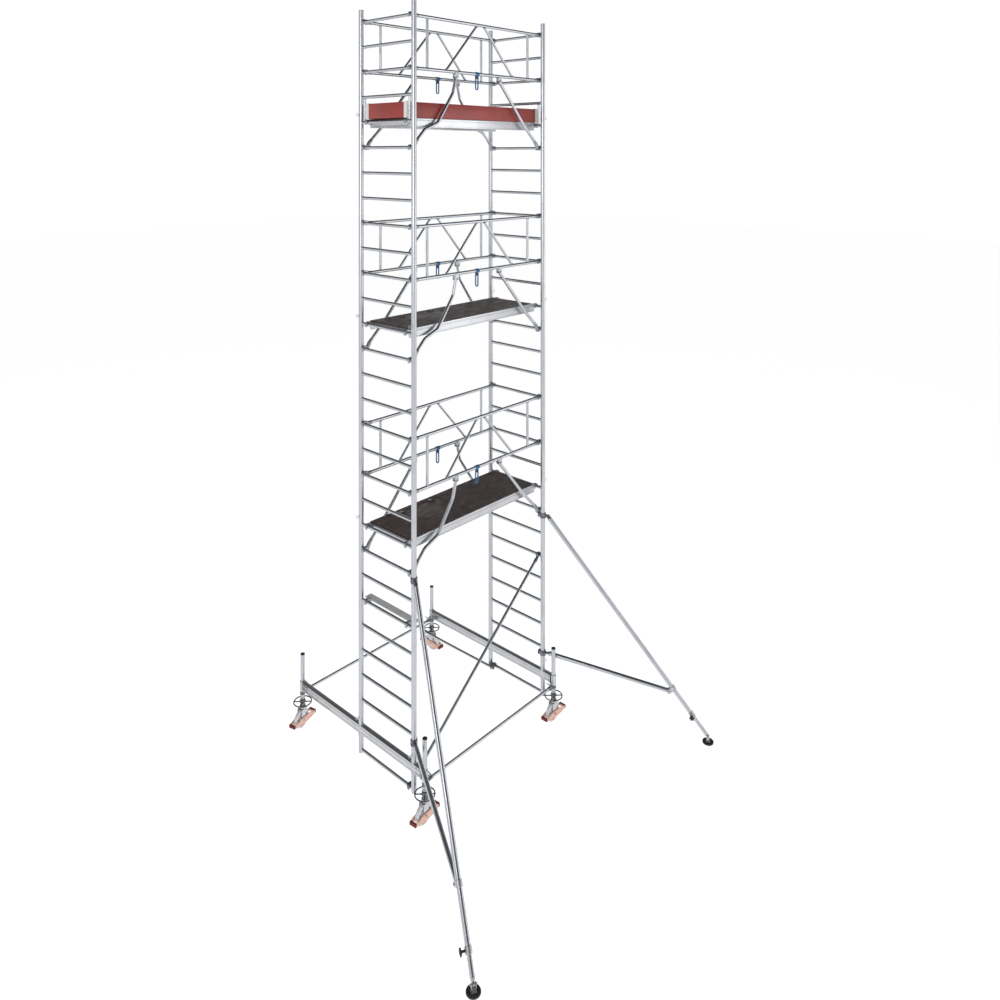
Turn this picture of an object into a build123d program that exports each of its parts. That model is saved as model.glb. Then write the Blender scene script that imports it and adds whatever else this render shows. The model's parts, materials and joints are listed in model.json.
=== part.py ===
from build123d import *

import math
import os

# Mobile tower scaffold. Millimetres, +Z up, floor at Z = 0, +X along the bay, the stabilisers on the -Y side.

# Driving dimensions of the tower
BAY = 1900.0  # centre distance of the two ladder frames
FRAME_WIDTH = 785.0  # centre distance of the two posts of one frame
RUNG_PITCH = 250.0
LOWEST_RUNG = 240.0
POST_OD = 51.0
POST_WALL = 2.0
RUNG_OD = 32.0
TUBE_WALL = 2.0
POST_ABOVE_RUNG = 125.0  # from the highest rung up to the post tops
POST_FOOT = 210.0  # lowest point of the chassis posts above the floor
BACKSET = 240.4  # distance of the front posts behind the origin, which is the middle of the footprint
FIT = 0.1  # running gap of sliding and turning fits

# Chassis beams and castors
BEAM_WIDTH = 50.0
BEAM_HEIGHT = 85.0
BEAM_WALL = 3.0
BEAM_TOP = 490.0
FRONT_OVERHANG = 150.0  # castor tube in front of the front posts
REAR_OVERHANG = 1005.0  # castor tube behind the rear posts
SLEEVE_OD = 58.0
SLEEVE_HEIGHT = 105.0
SPINDLE_TUBE_OD = 45.0
SPINDLE_TUBE_WALL = 3.0
SPINDLE_TUBE_TOP = 780.0
SPINDLE_TUBE_FOOT = 305.0
SPINDLE_OD = 36.0
SPINDLE_STROKE = 250.0
HAND_WHEEL_OD = 200.0
HAND_WHEEL_HEIGHT = 270.0
WHEEL_OD = 200.0
WHEEL_WIDTH = 42.0
FORK_TOP = 214.0
TRAIL = 22.0
BRAKE_REACH = 150.0
CASTOR_HEADINGS = {"front_left": 5.0, "front_right": 0.0, "rear_left": 13.0, "rear_right": 92.0}

# Guardrails, platforms and toe boards
BRACE_LEVEL = 380.0  # level braces between the castor tubes
LEVEL_BRACE_OD = 30.0
FRONT_DIAGONAL_OD = 32.0
STAY_LEVEL = 236.0  # low stay behind the right frame

RAIL_OD = 33.0
RAIL_INSET = 45.0  # rails and claws stand this far inside the post centres
BRACE_OD = 25.0
UPRIGHT_OD = 28.0
PLATFORM_RUNGS = {"top": 25, "middle": 17, "lower": 9}
PLATFORM_INSET = 90.0
PLATFORM_RAIL_HEIGHT = 75.0
PLATFORM_RAIL_WIDTH = 28.0
DECK_THICKNESS = 12.0
DECK_HALF_LENGTH = 895.0
HATCH_LENGTH = 600.0
HATCH_WIDTH = 470.0
HATCH_GAP = 3.0
TOE_BOARD_HEIGHT = 150.0
TOE_BOARD_THICKNESS = 18.0
TOE_BOARD_REACH = 938.0  # half length of the long boards

# Stabilisers
STABILISER_OUT = 820.0  # foot beyond the posts along X
STABILISER_FORWARD = 1567.0  # foot in front of the front posts
UPPER_CLAMP = 2194.0
LOWER_CLAMP = 680.0
LEG_OD = 48.0
LEG_BORE = 42.2
INNER_LEG_OD = 42.0
STRUT_OD = 40.0
STRUT_ALONG = 0.79  # share of the leg's length where the strut joins it
LEG_END_ALONG = {-1: 0.941, 1: 0.915}  # the left inner leg is pushed further in
FOOT_OD = 115.0
FOOT_HEIGHT = 16.0
FOOT_PIN_HEIGHT = 62.0

HALF_BAY = BAY / 2
FRONT_Y = -FRAME_WIDTH / 2 + BACKSET
REAR_Y = FRAME_WIDTH / 2 + BACKSET
MID_Y = BACKSET
SIDES = {"left": -1, "right": 1}


def rung_height(number):
    """Height of a rung's centre; rung 0 is the lowest one."""
    return LOWEST_RUNG + RUNG_PITCH * number


def bar(start, end, diameter):
    """A round bar between two points."""
    run = Vector(*end) - Vector(*start)
    seat = Plane(origin=start, z_dir=run)
    return seat * Cylinder(diameter / 2, run.length, align=(Align.CENTER, Align.CENTER, Align.MIN))


def tube(start, end, diameter, wall=TUBE_WALL):
    """A round tube between two points."""
    return bar(start, end, diameter) - bar(start, end, diameter - 2 * wall)


def block(centre, size):
    """A box about its centre."""
    return Pos(*centre) * Box(*size)


def bent_tube(points, radii, diameter, wall=TUBE_WALL):
    """A tube swept along straight runs joined by arcs."""
    path = FilletPolyline(*points, radius=radii)
    start = Plane(origin=path @ 0, z_dir=path % 0)
    section = start * (Circle(diameter / 2) - Circle(diameter / 2 - wall))
    return sweep(section, path=path)


def write(name, pieces):
    """Writes the pieces as the separate solids of one node."""
    solids = []
    for piece in pieces:
        solids.extend(piece.solids())
    export_step(Compound(children=solids), f"parts/{name}.step")


# Ladder frames


def post_place(side, front):
    """X and Y of a post's axis."""
    return SIDES[side] * HALF_BAY, FRONT_Y if front else REAR_Y


def clip_heights():
    """Heights of the spring clips, just under each frame joint."""
    return [foot - 50 for foot in (frame_foot(number) for number in (2, 10, 18, 26))]


def frame_foot(first_rung):
    """Height of the joint below a frame whose lowest rung is first_rung."""
    return rung_height(first_rung) - RUNG_PITCH / 2


def clip_hole(x, y, z):
    """The hole that a spring clip's pin takes through a post's outer wall."""
    outward = math.copysign(POST_OD, x)
    return bar((x, y, z), (x + outward, y, z), 8.2)


def posts(side, low, high):
    """Both post tubes of one frame, drilled for the spring clips within their height."""
    made = []
    for front in (True, False):
        x, y = post_place(side, front)
        post = tube((x, y, low), (x, y, high), POST_OD, POST_WALL)
        for height in clip_heights():
            if low < height < high:
                post = post - clip_hole(x, y, height)
        made.append(post)
    return made


def rungs(side, first, count):
    """Rung tubes between the posts of one frame, saddled to the posts."""
    x = SIDES[side] * HALF_BAY
    made = []
    for number in range(first, first + count):
        z = rung_height(number)
        rung = tube((x, FRONT_Y, z), (x, REAR_Y, z), RUNG_OD)
        for y in (FRONT_Y, REAR_Y):
            rung = rung - bar((x, y, z - RUNG_OD), (x, y, z + RUNG_OD), POST_OD)
        made.append(rung)
    return made


def frames(first, count, top=None):
    """The left and right ladder frames of one lift."""
    low = frame_foot(first)
    high = top or low + count * RUNG_PITCH
    made = []
    for side in SIDES:
        made += posts(side, low, high) + rungs(side, first, count)
    return made


def spigots():
    """Connector tubes inside the posts at each frame joint."""
    made = []
    outer = POST_OD - 2 * POST_WALL - FIT
    for first in (2, 10, 18, 26):
        joint = frame_foot(first)
        for side in SIDES:
            for front in (True, False):
                x, y = post_place(side, front)
                spigot = tube((x, y, joint - 75), (x, y, joint + 75), outer, 2.5)
                made.append(spigot - clip_hole(x, y, joint - 50))
    return made


def clips():
    """Spring clips: a pin through the post wall and a ring outside it."""
    made = []
    for z in clip_heights():
        for side, sign in SIDES.items():
            for front in (True, False):
                x, y = post_place(side, front)
                wall = x + sign * POST_OD / 2
                pin = bar((wall - sign * 8, y, z), (wall + sign * 14, y, z), 8)
                ring = Pos(wall + sign * 26, y, z + 4) * Rot(90, 0, 0) * Torus(14, 2.6)
                made.append(pin + ring)
    return made


# Chassis


def castor_places():
    """Name, X and Y of each castor tube."""
    made = []
    for side, sign in SIDES.items():
        made.append((f"front_{side}", sign * HALF_BAY, FRONT_Y - FRONT_OVERHANG))
        made.append((f"rear_{side}", sign * HALF_BAY, REAR_Y + REAR_OVERHANG))
    return made


def chassis_beam(side):
    """One box beam, the two posts that pass through it and the lowest rung between them."""
    x = SIDES[side] * HALF_BAY
    near = FRONT_Y - FRONT_OVERHANG + SLEEVE_OD / 2 + 4
    far = REAR_Y + REAR_OVERHANG - SLEEVE_OD / 2 - 4
    centre = (x, (near + far) / 2, BEAM_TOP - BEAM_HEIGHT / 2)
    beam = block(centre, (BEAM_WIDTH, far - near, BEAM_HEIGHT))
    core = block(centre, (BEAM_WIDTH - 2 * BEAM_WALL, far - near + 2, BEAM_HEIGHT - 2 * BEAM_WALL))
    beam = beam - core
    for y in (FRONT_Y, REAR_Y):
        beam = beam - bar((x, y, BEAM_TOP - 2 * BEAM_HEIGHT), (x, y, BEAM_TOP + BEAM_HEIGHT), POST_OD)
    return [beam] + posts(side, POST_FOOT, frame_foot(2)) + rungs(side, 0, 1)


def castor_brackets():
    """Cast end brackets: a sleeve around each castor tube and a tongue inside the beam end."""
    made = []
    middle = BEAM_TOP - BEAM_HEIGHT / 2 - 5
    for name, x, y in castor_places():
        inward = 1 if name.startswith("front") else -1
        sleeve = tube(
            (x, y, middle - SLEEVE_HEIGHT / 2),
            (x, y, middle + SLEEVE_HEIGHT / 2),
            SLEEVE_OD,
            (SLEEVE_OD - SPINDLE_TUBE_OD) / 2,
        )
        plate_y = y + inward * (SLEEVE_OD / 2 + 1)
        plate = block((x, plate_y, BEAM_TOP - BEAM_HEIGHT / 2), (64, 6, BEAM_HEIGHT + 8))
        tongue = block((x, y + inward * (SLEEVE_OD / 2 + 44), BEAM_TOP - BEAM_HEIGHT / 2), (43, 84, 78))
        boss = bar((x, y, middle - 30), (x - 46 * math.copysign(1, x), y, middle - 30), 22)
        bore = bar((x, y, middle - SLEEVE_HEIGHT), (x, y, middle + SLEEVE_HEIGHT), SPINDLE_TUBE_OD)
        made.append(sleeve + (plate + tongue + boss - bore))
    return made


def bracket_bolts():
    """Hexagon heads of the bolts that hold each bracket's tongue, on both faces of the beam."""
    made = []
    for name, x, y in castor_places():
        inward = 1 if name.startswith("front") else -1
        for along in (55, 95):
            for height in (BEAM_TOP - 22, BEAM_TOP - BEAM_HEIGHT + 20):
                for face in (-1, 1):
                    seat = Plane(
                        origin=(x + face * BEAM_WIDTH / 2, y + inward * along, height),
                        z_dir=(face, 0, 0),
                    )
                    head = extrude(seat * RegularPolygon(9, 6), 8)
                    washer = extrude(seat * Circle(12), 2)
                    made.append(head + washer)
    return made


def lock_levers():
    """T-handled clamp screws that lock the castor tubes in their sleeves."""
    made = []
    height = BEAM_TOP - BEAM_HEIGHT / 2 - 35
    for name, x, y in castor_places():
        inner = -math.copysign(1, x)
        start = x + inner * 46
        screw = bar((start, y, height), (start + inner * 26, y, height), 12)
        grip = bar((start + inner * 26, y - 34, height - 8), (start + inner * 26, y + 34, height + 8), 11)
        made.append(screw + grip)
    return made


def spindle_tubes():
    """The four upright tubes that hold the castor spindles."""
    return [
        tube((x, y, SPINDLE_TUBE_FOOT), (x, y, SPINDLE_TUBE_TOP), SPINDLE_TUBE_OD, SPINDLE_TUBE_WALL)
        for _, x, y in castor_places()
    ]


def spindle_tube_caps():
    """Plastic end caps on the spindle tubes."""
    made = []
    for _, x, y in castor_places():
        head = bar((x, y, SPINDLE_TUBE_TOP), (x, y, SPINDLE_TUBE_TOP + 8), SPINDLE_TUBE_OD + 3)
        plug = bar((x, y, SPINDLE_TUBE_TOP - 20), (x, y, SPINDLE_TUBE_TOP), SPINDLE_TUBE_OD - 2 * SPINDLE_TUBE_WALL)
        made.append(fillet(head.edges().sort_by(Axis.Z)[-1], 4) + plug)
    return made


def hand_wheel(x, y):
    """Spoked hand wheel with its threaded hub around the spindle."""
    place = Pos(x, y, HAND_WHEEL_HEIGHT)
    rim = Torus(HAND_WHEEL_OD / 2 - 6, 6)
    hub = Pos(0, 0, 5) * Cylinder(30, 50)
    spokes = [Rot(0, 0, 90 * turn) * Pos(60, 0, 0) * Box(70, 12, 8) for turn in range(4)]
    wheel = hub + rim
    for spoke in spokes:
        wheel = wheel + spoke
    return place * (wheel - Cylinder(SPINDLE_OD / 2 + FIT / 2, 120))


def spindle(x, y):
    """Threaded spindle with the swivel bearing's upper race at its foot."""
    foot = FORK_TOP + 8
    rod = bar((x, y, foot), (x, y, SPINDLE_TUBE_FOOT + SPINDLE_STROKE + 90), SPINDLE_OD)
    race = bar((x, y, foot), (x, y, foot + 12), 66)
    return rod + race


def fork(x, y, heading):
    """Swivel fork: lower race, crown and two raked side plates joined by the axle."""
    place = Pos(x, y, 0) * Rot(0, 0, heading)
    crown = Pos(0, 0, FORK_TOP - 3) * Cylinder(34, 22) + Pos(-TRAIL / 4, 0, FORK_TOP - 9) * Box(90, 66, 6)
    axle = bar((-TRAIL, -46, WHEEL_OD / 2), (-TRAIL, 46, WHEEL_OD / 2), 16)
    body = crown + axle
    for side in (-1, 1):
        seat = Plane(origin=(0, side * 30.5 + 2.5, 0), x_dir=(1, 0, 0), z_dir=(0, -1, 0))
        outline = Polyline(
            (-TRAIL - 24, WHEEL_OD / 2 - 8),
            (-TRAIL - 8, WHEEL_OD / 2 - 24),
            (-TRAIL + 16, WHEEL_OD / 2 - 20),
            (-TRAIL + 24, WHEEL_OD / 2),
            (38, FORK_TOP - 12),
            (-48, FORK_TOP - 12),
            (-TRAIL - 24, WHEEL_OD / 2 - 8),
        )
        body = body + extrude(seat * make_face(outline), 5)
    return place * body


def castor_wheel(x, y, heading):
    """Wheel with a tyre of rounded section, a dished web and a hub bored for the axle."""
    place = Pos(x, y, 0) * Rot(0, 0, heading) * Pos(-TRAIL, 0, WHEEL_OD / 2) * Rot(90, 0, 0)
    tread = Cylinder(WHEEL_OD / 2, WHEEL_WIDTH)
    tread = fillet(tread.edges(), 9)
    dish = Cylinder(WHEEL_OD / 2 - 22, WHEEL_WIDTH) - Cylinder(WHEEL_OD / 2 - 60, WHEEL_WIDTH)
    web = Cylinder(WHEEL_OD / 2 - 22, 14)
    hub = Cylinder(24, WHEEL_WIDTH + 10)
    wheel = tread - dish + web + hub
    return place * (wheel - Cylinder(8 + FIT / 2, WHEEL_WIDTH * 2))


def brake_rocker(x, y, heading):
    """Brake rocker: two boat-shaped cheeks on the axle, joined by a tread pad at each end."""
    place = Pos(x, y, 0) * Rot(0, 0, heading)
    made = []
    for side in (-1, 1):
        seat = Plane(origin=(0, side * 38.5 + 1.5, 0), x_dir=(1, 0, 0), z_dir=(0, -1, 0))
        outline = Polyline(
            (-BRAKE_REACH, 102),
            (-BRAKE_REACH, 76),
            (-95, 62),
            (-45, 56),
            (45, 56),
            (95, 62),
            (BRAKE_REACH, 76),
            (BRAKE_REACH, 102),
            (60, 128),
            (-60, 128),
            (-BRAKE_REACH, 102),
        )
        cheek = extrude(seat * make_face(outline), 3)
        bore = bar((-TRAIL, -50, WHEEL_OD / 2), (-TRAIL, 50, WHEEL_OD / 2), 16 + FIT)
        made.append(place * (cheek - bore))
    for end in (-1, 1):
        made.append(place * block((end * (BRAKE_REACH - 4), 0, 89), (8, 74, 24)))
    return made


def brake_pads(x, y, heading):
    """Rubber tread pads on the two ends of a brake rocker."""
    place = Pos(x, y, 0) * Rot(0, 0, heading)
    return [place * block((end * (BRAKE_REACH + 8), 0, 89), (16, 78, 36)) for end in (-1, 1)]


# Braces


def claw(x, y, z, sign, width=33, reach=35.0):
    """A hook that opens downwards over a rung whose axis lies along Y; sign points to the bay's outside."""
    body = block((x - sign * (reach / 2 - 10), y, z + 3), (reach + 20, width, 50))
    throat = bar((x, y - width, z), (x, y + width, z), RUNG_OD + 2 * FIT)
    mouth = block((x, y, z - 30), (RUNG_OD + 2 * FIT, 2 * width, 60))
    return body - throat - mouth


def base_braces():
    """Two level tubes between castor tubes, the front diagonal and the rear stay."""
    made = []
    ends = HALF_BAY - SPINDLE_TUBE_OD / 2 - 16
    for y in (FRONT_Y - FRONT_OVERHANG, REAR_Y + REAR_OVERHANG):
        made.append(tube((-ends, y, BRACE_LEVEL), (ends, y, BRACE_LEVEL), LEVEL_BRACE_OD))
    diagonal_y = FRONT_Y + RAIL_INSET + 12
    low, high = brace_ends()
    run = (Vector(*high) - Vector(*low)).normalized()
    start = Vector(*low) + run * 52
    end = Vector(*high) - run * 52
    made.append(tube((start.X, diagonal_y, start.Z), (end.X, diagonal_y, end.Z), FRONT_DIAGONAL_OD))
    stay_start = (HALF_BAY - 46, REAR_Y - 90, STAY_LEVEL)
    stay_end = (HALF_BAY - 76, REAR_Y + 1050, STAY_LEVEL)
    made.append(tube(stay_start, stay_end, LEVEL_BRACE_OD))
    return made


def brace_ends():
    """Rung points that the front diagonal hangs between."""
    y = FRONT_Y + RAIL_INSET + 12
    return (-HALF_BAY, y, rung_height(0)), (HALF_BAY, y, rung_height(6))


def brace_fittings():
    """Half collars on the castor tubes and claws on the rungs that the base braces end in."""
    made = []
    collar_foot = BRACE_LEVEL - 28
    collar_head = BRACE_LEVEL + 8
    collar_od = SPINDLE_TUBE_OD + 12
    for y in (FRONT_Y - FRONT_OVERHANG, REAR_Y + REAR_OVERHANG):
        for sign in SIDES.values():
            x = sign * HALF_BAY
            collar = tube((x, y, collar_foot), (x, y, collar_head), collar_od, 6)
            lug = block((x - sign * 30.5, y, BRACE_LEVEL - 8), (16, 24, 28))
            bore = bar((x, y, collar_foot - 20), (x, y, collar_head + 20), collar_od)
            made.append(collar + (lug - bore))
    low, high = brace_ends()
    run = (Vector(*high) - Vector(*low)).normalized()
    for point, sign, way in ((low, -1, run), (high, 1, run * -1)):
        x, y, z = point
        seat = Vector(*point) + way * 22
        tip = Vector(*point) + way * 52
        rung = bar((x, y - 40, z), (x, y + 40, z), RUNG_OD + 2 * FIT)
        fitting = claw(x, y, z, sign, 32) + bar(tuple(seat), tuple(tip), 28)
        mouth = block((x, y, z - 30), (RUNG_OD + 2 * FIT, 70, 60))
        made.append(fitting - rung - mouth)
    return made


def step_board():
    """Step board on rung 6 of the left frame, on two hooks."""
    x = -HALF_BAY
    z = rung_height(6)
    length = FRAME_WIDTH - 64
    board = block((x + 62, MID_Y, z + 20), (76, length, 8))
    lip = block((x + 98, MID_Y, z + 4), (4, length, 24))
    hooks = [claw(x, MID_Y + end * (FRAME_WIDTH / 2 - 90), z, -1, 30) for end in (-1, 1)]
    return [board + lip - hooks[0] - hooks[1]] + hooks


# Guardrails


def near_and_far(pieces):
    """The pieces of the near guardrail and the same guardrail turned half round for the far side."""
    turn = Pos(0, MID_Y, 0) * Rot(0, 0, 180) * Pos(0, -MID_Y, 0)
    return list(pieces) + [turn * piece for piece in pieces]


def rail_lines(level):
    """Y and the heights of a guardrail's lower and upper rails."""
    deck_rung = PLATFORM_RUNGS[level]
    return FRONT_Y + RAIL_INSET, rung_height(deck_rung + 2), rung_height(deck_rung + 4)


def leg_routes(upper):
    """Corner points of the left and right legs in X and Z."""
    left = ((-352, -552), (-392, -710), (-600, -1010), (-770, -1078), (-893, -1204))
    right = ((288, -552), (690, -1010), (893, -1204))
    return [[(x, upper + z) for x, z in route] for route in (left, right)]


def guardrail(level):
    """Two rails with uprights, two diagonals and two bent legs."""
    y, lower, upper = rail_lines(level)
    reach = HALF_BAY - RAIL_OD
    rails = [tube((-reach, y, z), (reach, y, z), RAIL_OD) for z in (lower, upper)]
    solid_rails = [bar((-reach, y, z), (reach, y, z), RAIL_OD) for z in (lower, upper)]
    made = list(rails)
    members = [((-740, lower), (-740, upper), UPRIGHT_OD), ((740, lower), (740, upper), UPRIGHT_OD)]
    members += [((end * 495, lower), (end * 45, upper), BRACE_OD) for end in (-1, 1)]
    for (x0, z0), (x1, z1), diameter in members:
        member = tube((x0, y, z0), (x1, y, z1), diameter, 1.6)
        for rail in solid_rails:
            member = member - rail
        made.append(member.solids().sort_by(SortBy.VOLUME)[-1])
    for route in leg_routes(upper):
        points = [(x, y + 3, z) for x, z in route]
        made.append(bent_tube(points, 70, RAIL_OD - 1))
    return made


def guardrail_claws(level):
    """Claws that hook the rails and the leg ends over the rungs."""
    y, lower, upper = rail_lines(level)
    made = []
    for sign in SIDES.values():
        x = sign * HALF_BAY
        for z in (lower, upper):
            hook = claw(x, y, z, sign, 33, 33)
            made.append(hook - bar((x - sign * 33, y, z), (0, y, z), RAIL_OD))
    foot = rung_height(PLATFORM_RUNGS[level] - 1)
    for route, sign in zip(leg_routes(upper), (-1, 1)):
        x = sign * HALF_BAY
        hook = claw(x, y + 3, foot, sign, 36, 40)
        socket = block((x - sign * 50, y + 3, foot + 22), (34, 36, 40))
        points = [(px, y + 3, pz) for px, pz in route]
        end = Vector(*points[-1])
        way = (end - Vector(*points[-2])).normalized()
        leg = bar(tuple(end - way * 80), tuple(end), RAIL_OD - 1)
        rung = bar((x, y - 40, foot), (x, y + 40, foot), RUNG_OD + 2 * FIT)
        made.append(hook + socket - leg - rung)
    return made


def leg_brackets(level):
    """Plates under the lower rail that hold each leg's head, with the pivot bolt."""
    y, lower, upper = rail_lines(level)
    rail = bar((-HALF_BAY, y, lower), (HALF_BAY, y, lower), RAIL_OD)
    made = []
    for route in leg_routes(upper):
        x, z = route[0]
        head = Vector(x, y + 3, z)
        second = Vector(route[1][0], y + 3, route[1][1])
        leg = bar(tuple(head), tuple(second), RAIL_OD - 1)
        leg_bore = bar(tuple(head), tuple(second), RAIL_OD - 5)
        for side in (-1, 1):
            plate = block((x, y + 3 + side * 18.5, lower - 30), (44, 5, 66))
            made.append(plate - rail)
        cross = block((x, y + 3, z + 13), (40, 32, 24))
        made.append(cross - leg - leg_bore - rail)
        for side in (-1, 1):
            made.append(bar((x, y + 3 + side * 21, z + 14), (x, y + 3 + side * 30, z + 14), 18))
    return made


def grip_loops(level):
    """Loop grips that hang from the lower rails, each with a collar on the rail."""
    y, lower, _ = rail_lines(level)
    x = -55.0
    collar = tube((x - 24, y, lower), (x + 24, y, lower), RAIL_OD + 10, 5)
    made = [collar]
    half = 22.0
    bottom = lower - 165
    solid_collar = bar((x - 24, y, lower), (x + 24, y, lower), RAIL_OD + 10)
    for side in (-1, 1):
        post = bar((x + side * 17, y, bottom + half), (x + side * 17, y, lower - 10), 13)
        made.append(post - solid_collar)
    arc = Pos(x, y, bottom + half) * Rot(90, 0, 0) * Torus(17, 6.5)
    made.append(arc & block((x, y, bottom + half - 40), (200, 60, 80)))
    return made


# Platforms


def deck_level(level):
    """Height of a platform's deck surface."""
    return rung_height(PLATFORM_RUNGS[level]) + 32


def platform_frame(level):
    """Aluminium platform frame: two side rails, two end members, three bearers and four claws."""
    rung = rung_height(PLATFORM_RUNGS[level])
    top = deck_level(level) - DECK_THICKNESS
    half_width = FRAME_WIDTH / 2 - PLATFORM_INSET
    end_x = HALF_BAY - 40
    made = []
    for side in (-1, 1):
        y = MID_Y + side * (half_width - PLATFORM_RAIL_WIDTH / 2)
        centre = (0, y, top - PLATFORM_RAIL_HEIGHT / 2)
        rail = block(centre, (2 * end_x, PLATFORM_RAIL_WIDTH, PLATFORM_RAIL_HEIGHT))
        core = block(centre, (2 * end_x + 2, PLATFORM_RAIL_WIDTH - 5, PLATFORM_RAIL_HEIGHT - 5))
        made.append(rail - core)
    inner = 2 * (half_width - PLATFORM_RAIL_WIDTH)
    for x in (-end_x + 20, end_x - 20):
        made.append(block((x, MID_Y, top - 25), (40, inner, 50)))
    for x in (-hatch_end() - 20, 20.0, HALF_BAY / 2):
        made.append(block((x, MID_Y, top - 18), (30, inner, 36)))
    for side in (-1, 1):
        for sign in SIDES.values():
            y = MID_Y + side * (half_width - PLATFORM_RAIL_WIDTH / 2)
            hook = claw(sign * HALF_BAY, y, rung, sign, 30, 40)
            made.append(hook - block((0, y, top - PLATFORM_RAIL_HEIGHT / 2), (2 * end_x, 60, 120)))
    return made


def hatch_end():
    """X distance from the middle of the bay to the hatch's far edge."""
    return HATCH_LENGTH + 60


def hatch_centre():
    """X and Y of the hatch's centre."""
    return -hatch_end() + HATCH_LENGTH / 2, MID_Y - 10


def hinge_line(level):
    """Y and height of the hatch hinge's axis."""
    return hatch_centre()[1] + HATCH_WIDTH / 2 + 4, deck_level(level) + 5.5


def deck(level):
    """Plywood deck with the hatch opening, and the fixed hinge knuckles on it."""
    half_width = FRAME_WIDTH / 2 - PLATFORM_INSET
    x, y = hatch_centre()
    z = deck_level(level) - DECK_THICKNESS / 2
    board = block((0, MID_Y, z), (2 * DECK_HALF_LENGTH, 2 * half_width, DECK_THICKNESS))
    opening = block((x, y, z), (HATCH_LENGTH, HATCH_WIDTH, 2 * DECK_THICKNESS))
    return board - opening


def hatch_knuckles(level):
    """The fixed leaves and knuckles of the hatch hinges."""
    x, _ = hatch_centre()
    y, z = hinge_line(level)
    made = []
    for offset in (-200, 200):
        knuckle = tube((x + offset - 14, y, z), (x + offset + 14, y, z), 10, 1.95)
        leaf = block((x + offset, y + 17, deck_level(level) + 1), (28, 26, 2))
        bore = bar((x + offset - 20, y, z), (x + offset + 20, y, z), 10)
        made.append(knuckle + (leaf - bore))
    return made


def hatch(level):
    """Hatch panel with a finger hole, its hinge straps and pins."""
    x, y = hatch_centre()
    z = deck_level(level) - DECK_THICKNESS / 2
    size = (HATCH_LENGTH - 2 * HATCH_GAP, HATCH_WIDTH - 2 * HATCH_GAP, DECK_THICKNESS - 1)
    panel = block((x, y, z), size)
    hole = bar((x, y - HATCH_WIDTH / 2 + 60, z - 20), (x, y - HATCH_WIDTH / 2 + 60, z + 20), 32)
    made = [panel - hole]
    hinge_y, hinge_z = hinge_line(level)
    surface = deck_level(level) - 0.5
    for offset in (-200, 200):
        pin = bar((x + offset - 32, hinge_y, hinge_z), (x + offset + 32, hinge_y, hinge_z), 6)
        straps = pin
        for end in (-1, 1):
            knuckle = bar((x + offset + end * 16, hinge_y, hinge_z), (x + offset + end * 32, hinge_y, hinge_z), 10)
            leaf = block((x + offset + end * 24, hinge_y - 20, surface + 1.5), (16, 32, 3))
            straps = straps + knuckle + leaf
        made.append(straps)
    return made


def toe_board_lines():
    """Lowest edge of the boards, and how far the long boards' centres lie from the bay's middle in Y."""
    return deck_level("top") + 2, FRAME_WIDTH / 2 - PLATFORM_INSET - TOE_BOARD_THICKNESS / 2


def toe_boards():
    """Red boards round the top platform: two along the deck and two between the posts, over the rungs."""
    base, offset = toe_board_lines()
    centre = base + TOE_BOARD_HEIGHT / 2
    made = []
    for side in (-1, 1):
        size = (2 * TOE_BOARD_REACH, TOE_BOARD_THICKNESS, TOE_BOARD_HEIGHT)
        made.append(block((0, MID_Y + side * offset, centre), size))
    for sign in SIDES.values():
        size = (TOE_BOARD_THICKNESS, 2 * offset - TOE_BOARD_THICKNESS - 8, TOE_BOARD_HEIGHT)
        made.append(block((sign * HALF_BAY, MID_Y, centre), size))
    return made


def toe_board_holders():
    """Moulded corner holders: each caps a long board's end and has a channel for the cross board."""
    base, offset = toe_board_lines()
    height = TOE_BOARD_HEIGHT + 6
    centre = base - 1 + height / 2
    boards = toe_boards()
    made = []
    for side in (-1, 1):
        for sign in SIDES.values():
            y = MID_Y + side * offset
            cap = block((sign * (TOE_BOARD_REACH + 6), y, centre), (40, TOE_BOARD_THICKNESS + 8, height))
            channel_y = y - side * (TOE_BOARD_THICKNESS / 2 + 12)
            channel = block((sign * HALF_BAY, channel_y, centre), (TOE_BOARD_THICKNESS + 6, 20, height))
            holder = cap + channel
            for board in boards:
                holder = holder - board
            made.append(holder)
    return made


def corner_bars():
    """Short upright bars between the platform rung and the rung above, beside each post."""
    rung = rung_height(PLATFORM_RUNGS["top"])
    made = []
    for side in (-1, 1):
        for sign in SIDES.values():
            x = sign * HALF_BAY
            y = MID_Y + side * (FRAME_WIDTH / 2 - 62)
            upright = tube((x, y, rung), (x, y, rung + RUNG_PITCH), 22, 1.6)
            for z in (rung, rung + RUNG_PITCH):
                upright = upright - bar((x, y - 30, z), (x, y + 30, z), RUNG_OD)
            made.append(upright.solids().sort_by(SortBy.VOLUME)[-1])
    return made


# Stabilisers


def stabiliser_line(sign):
    """Start at the upper clamp, end at the foot pin, and unit direction of a stabiliser leg."""
    outward = Vector(sign * STABILISER_OUT, -STABILISER_FORWARD, 0).normalized()
    post = Vector(sign * HALF_BAY, FRONT_Y, 0)
    start = post + outward * 52 + Vector(0, 0, UPPER_CLAMP)
    foot = post + Vector(sign * STABILISER_OUT, -STABILISER_FORWARD, FOOT_PIN_HEIGHT)
    return start, foot, (foot - start).normalized(), outward


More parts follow.
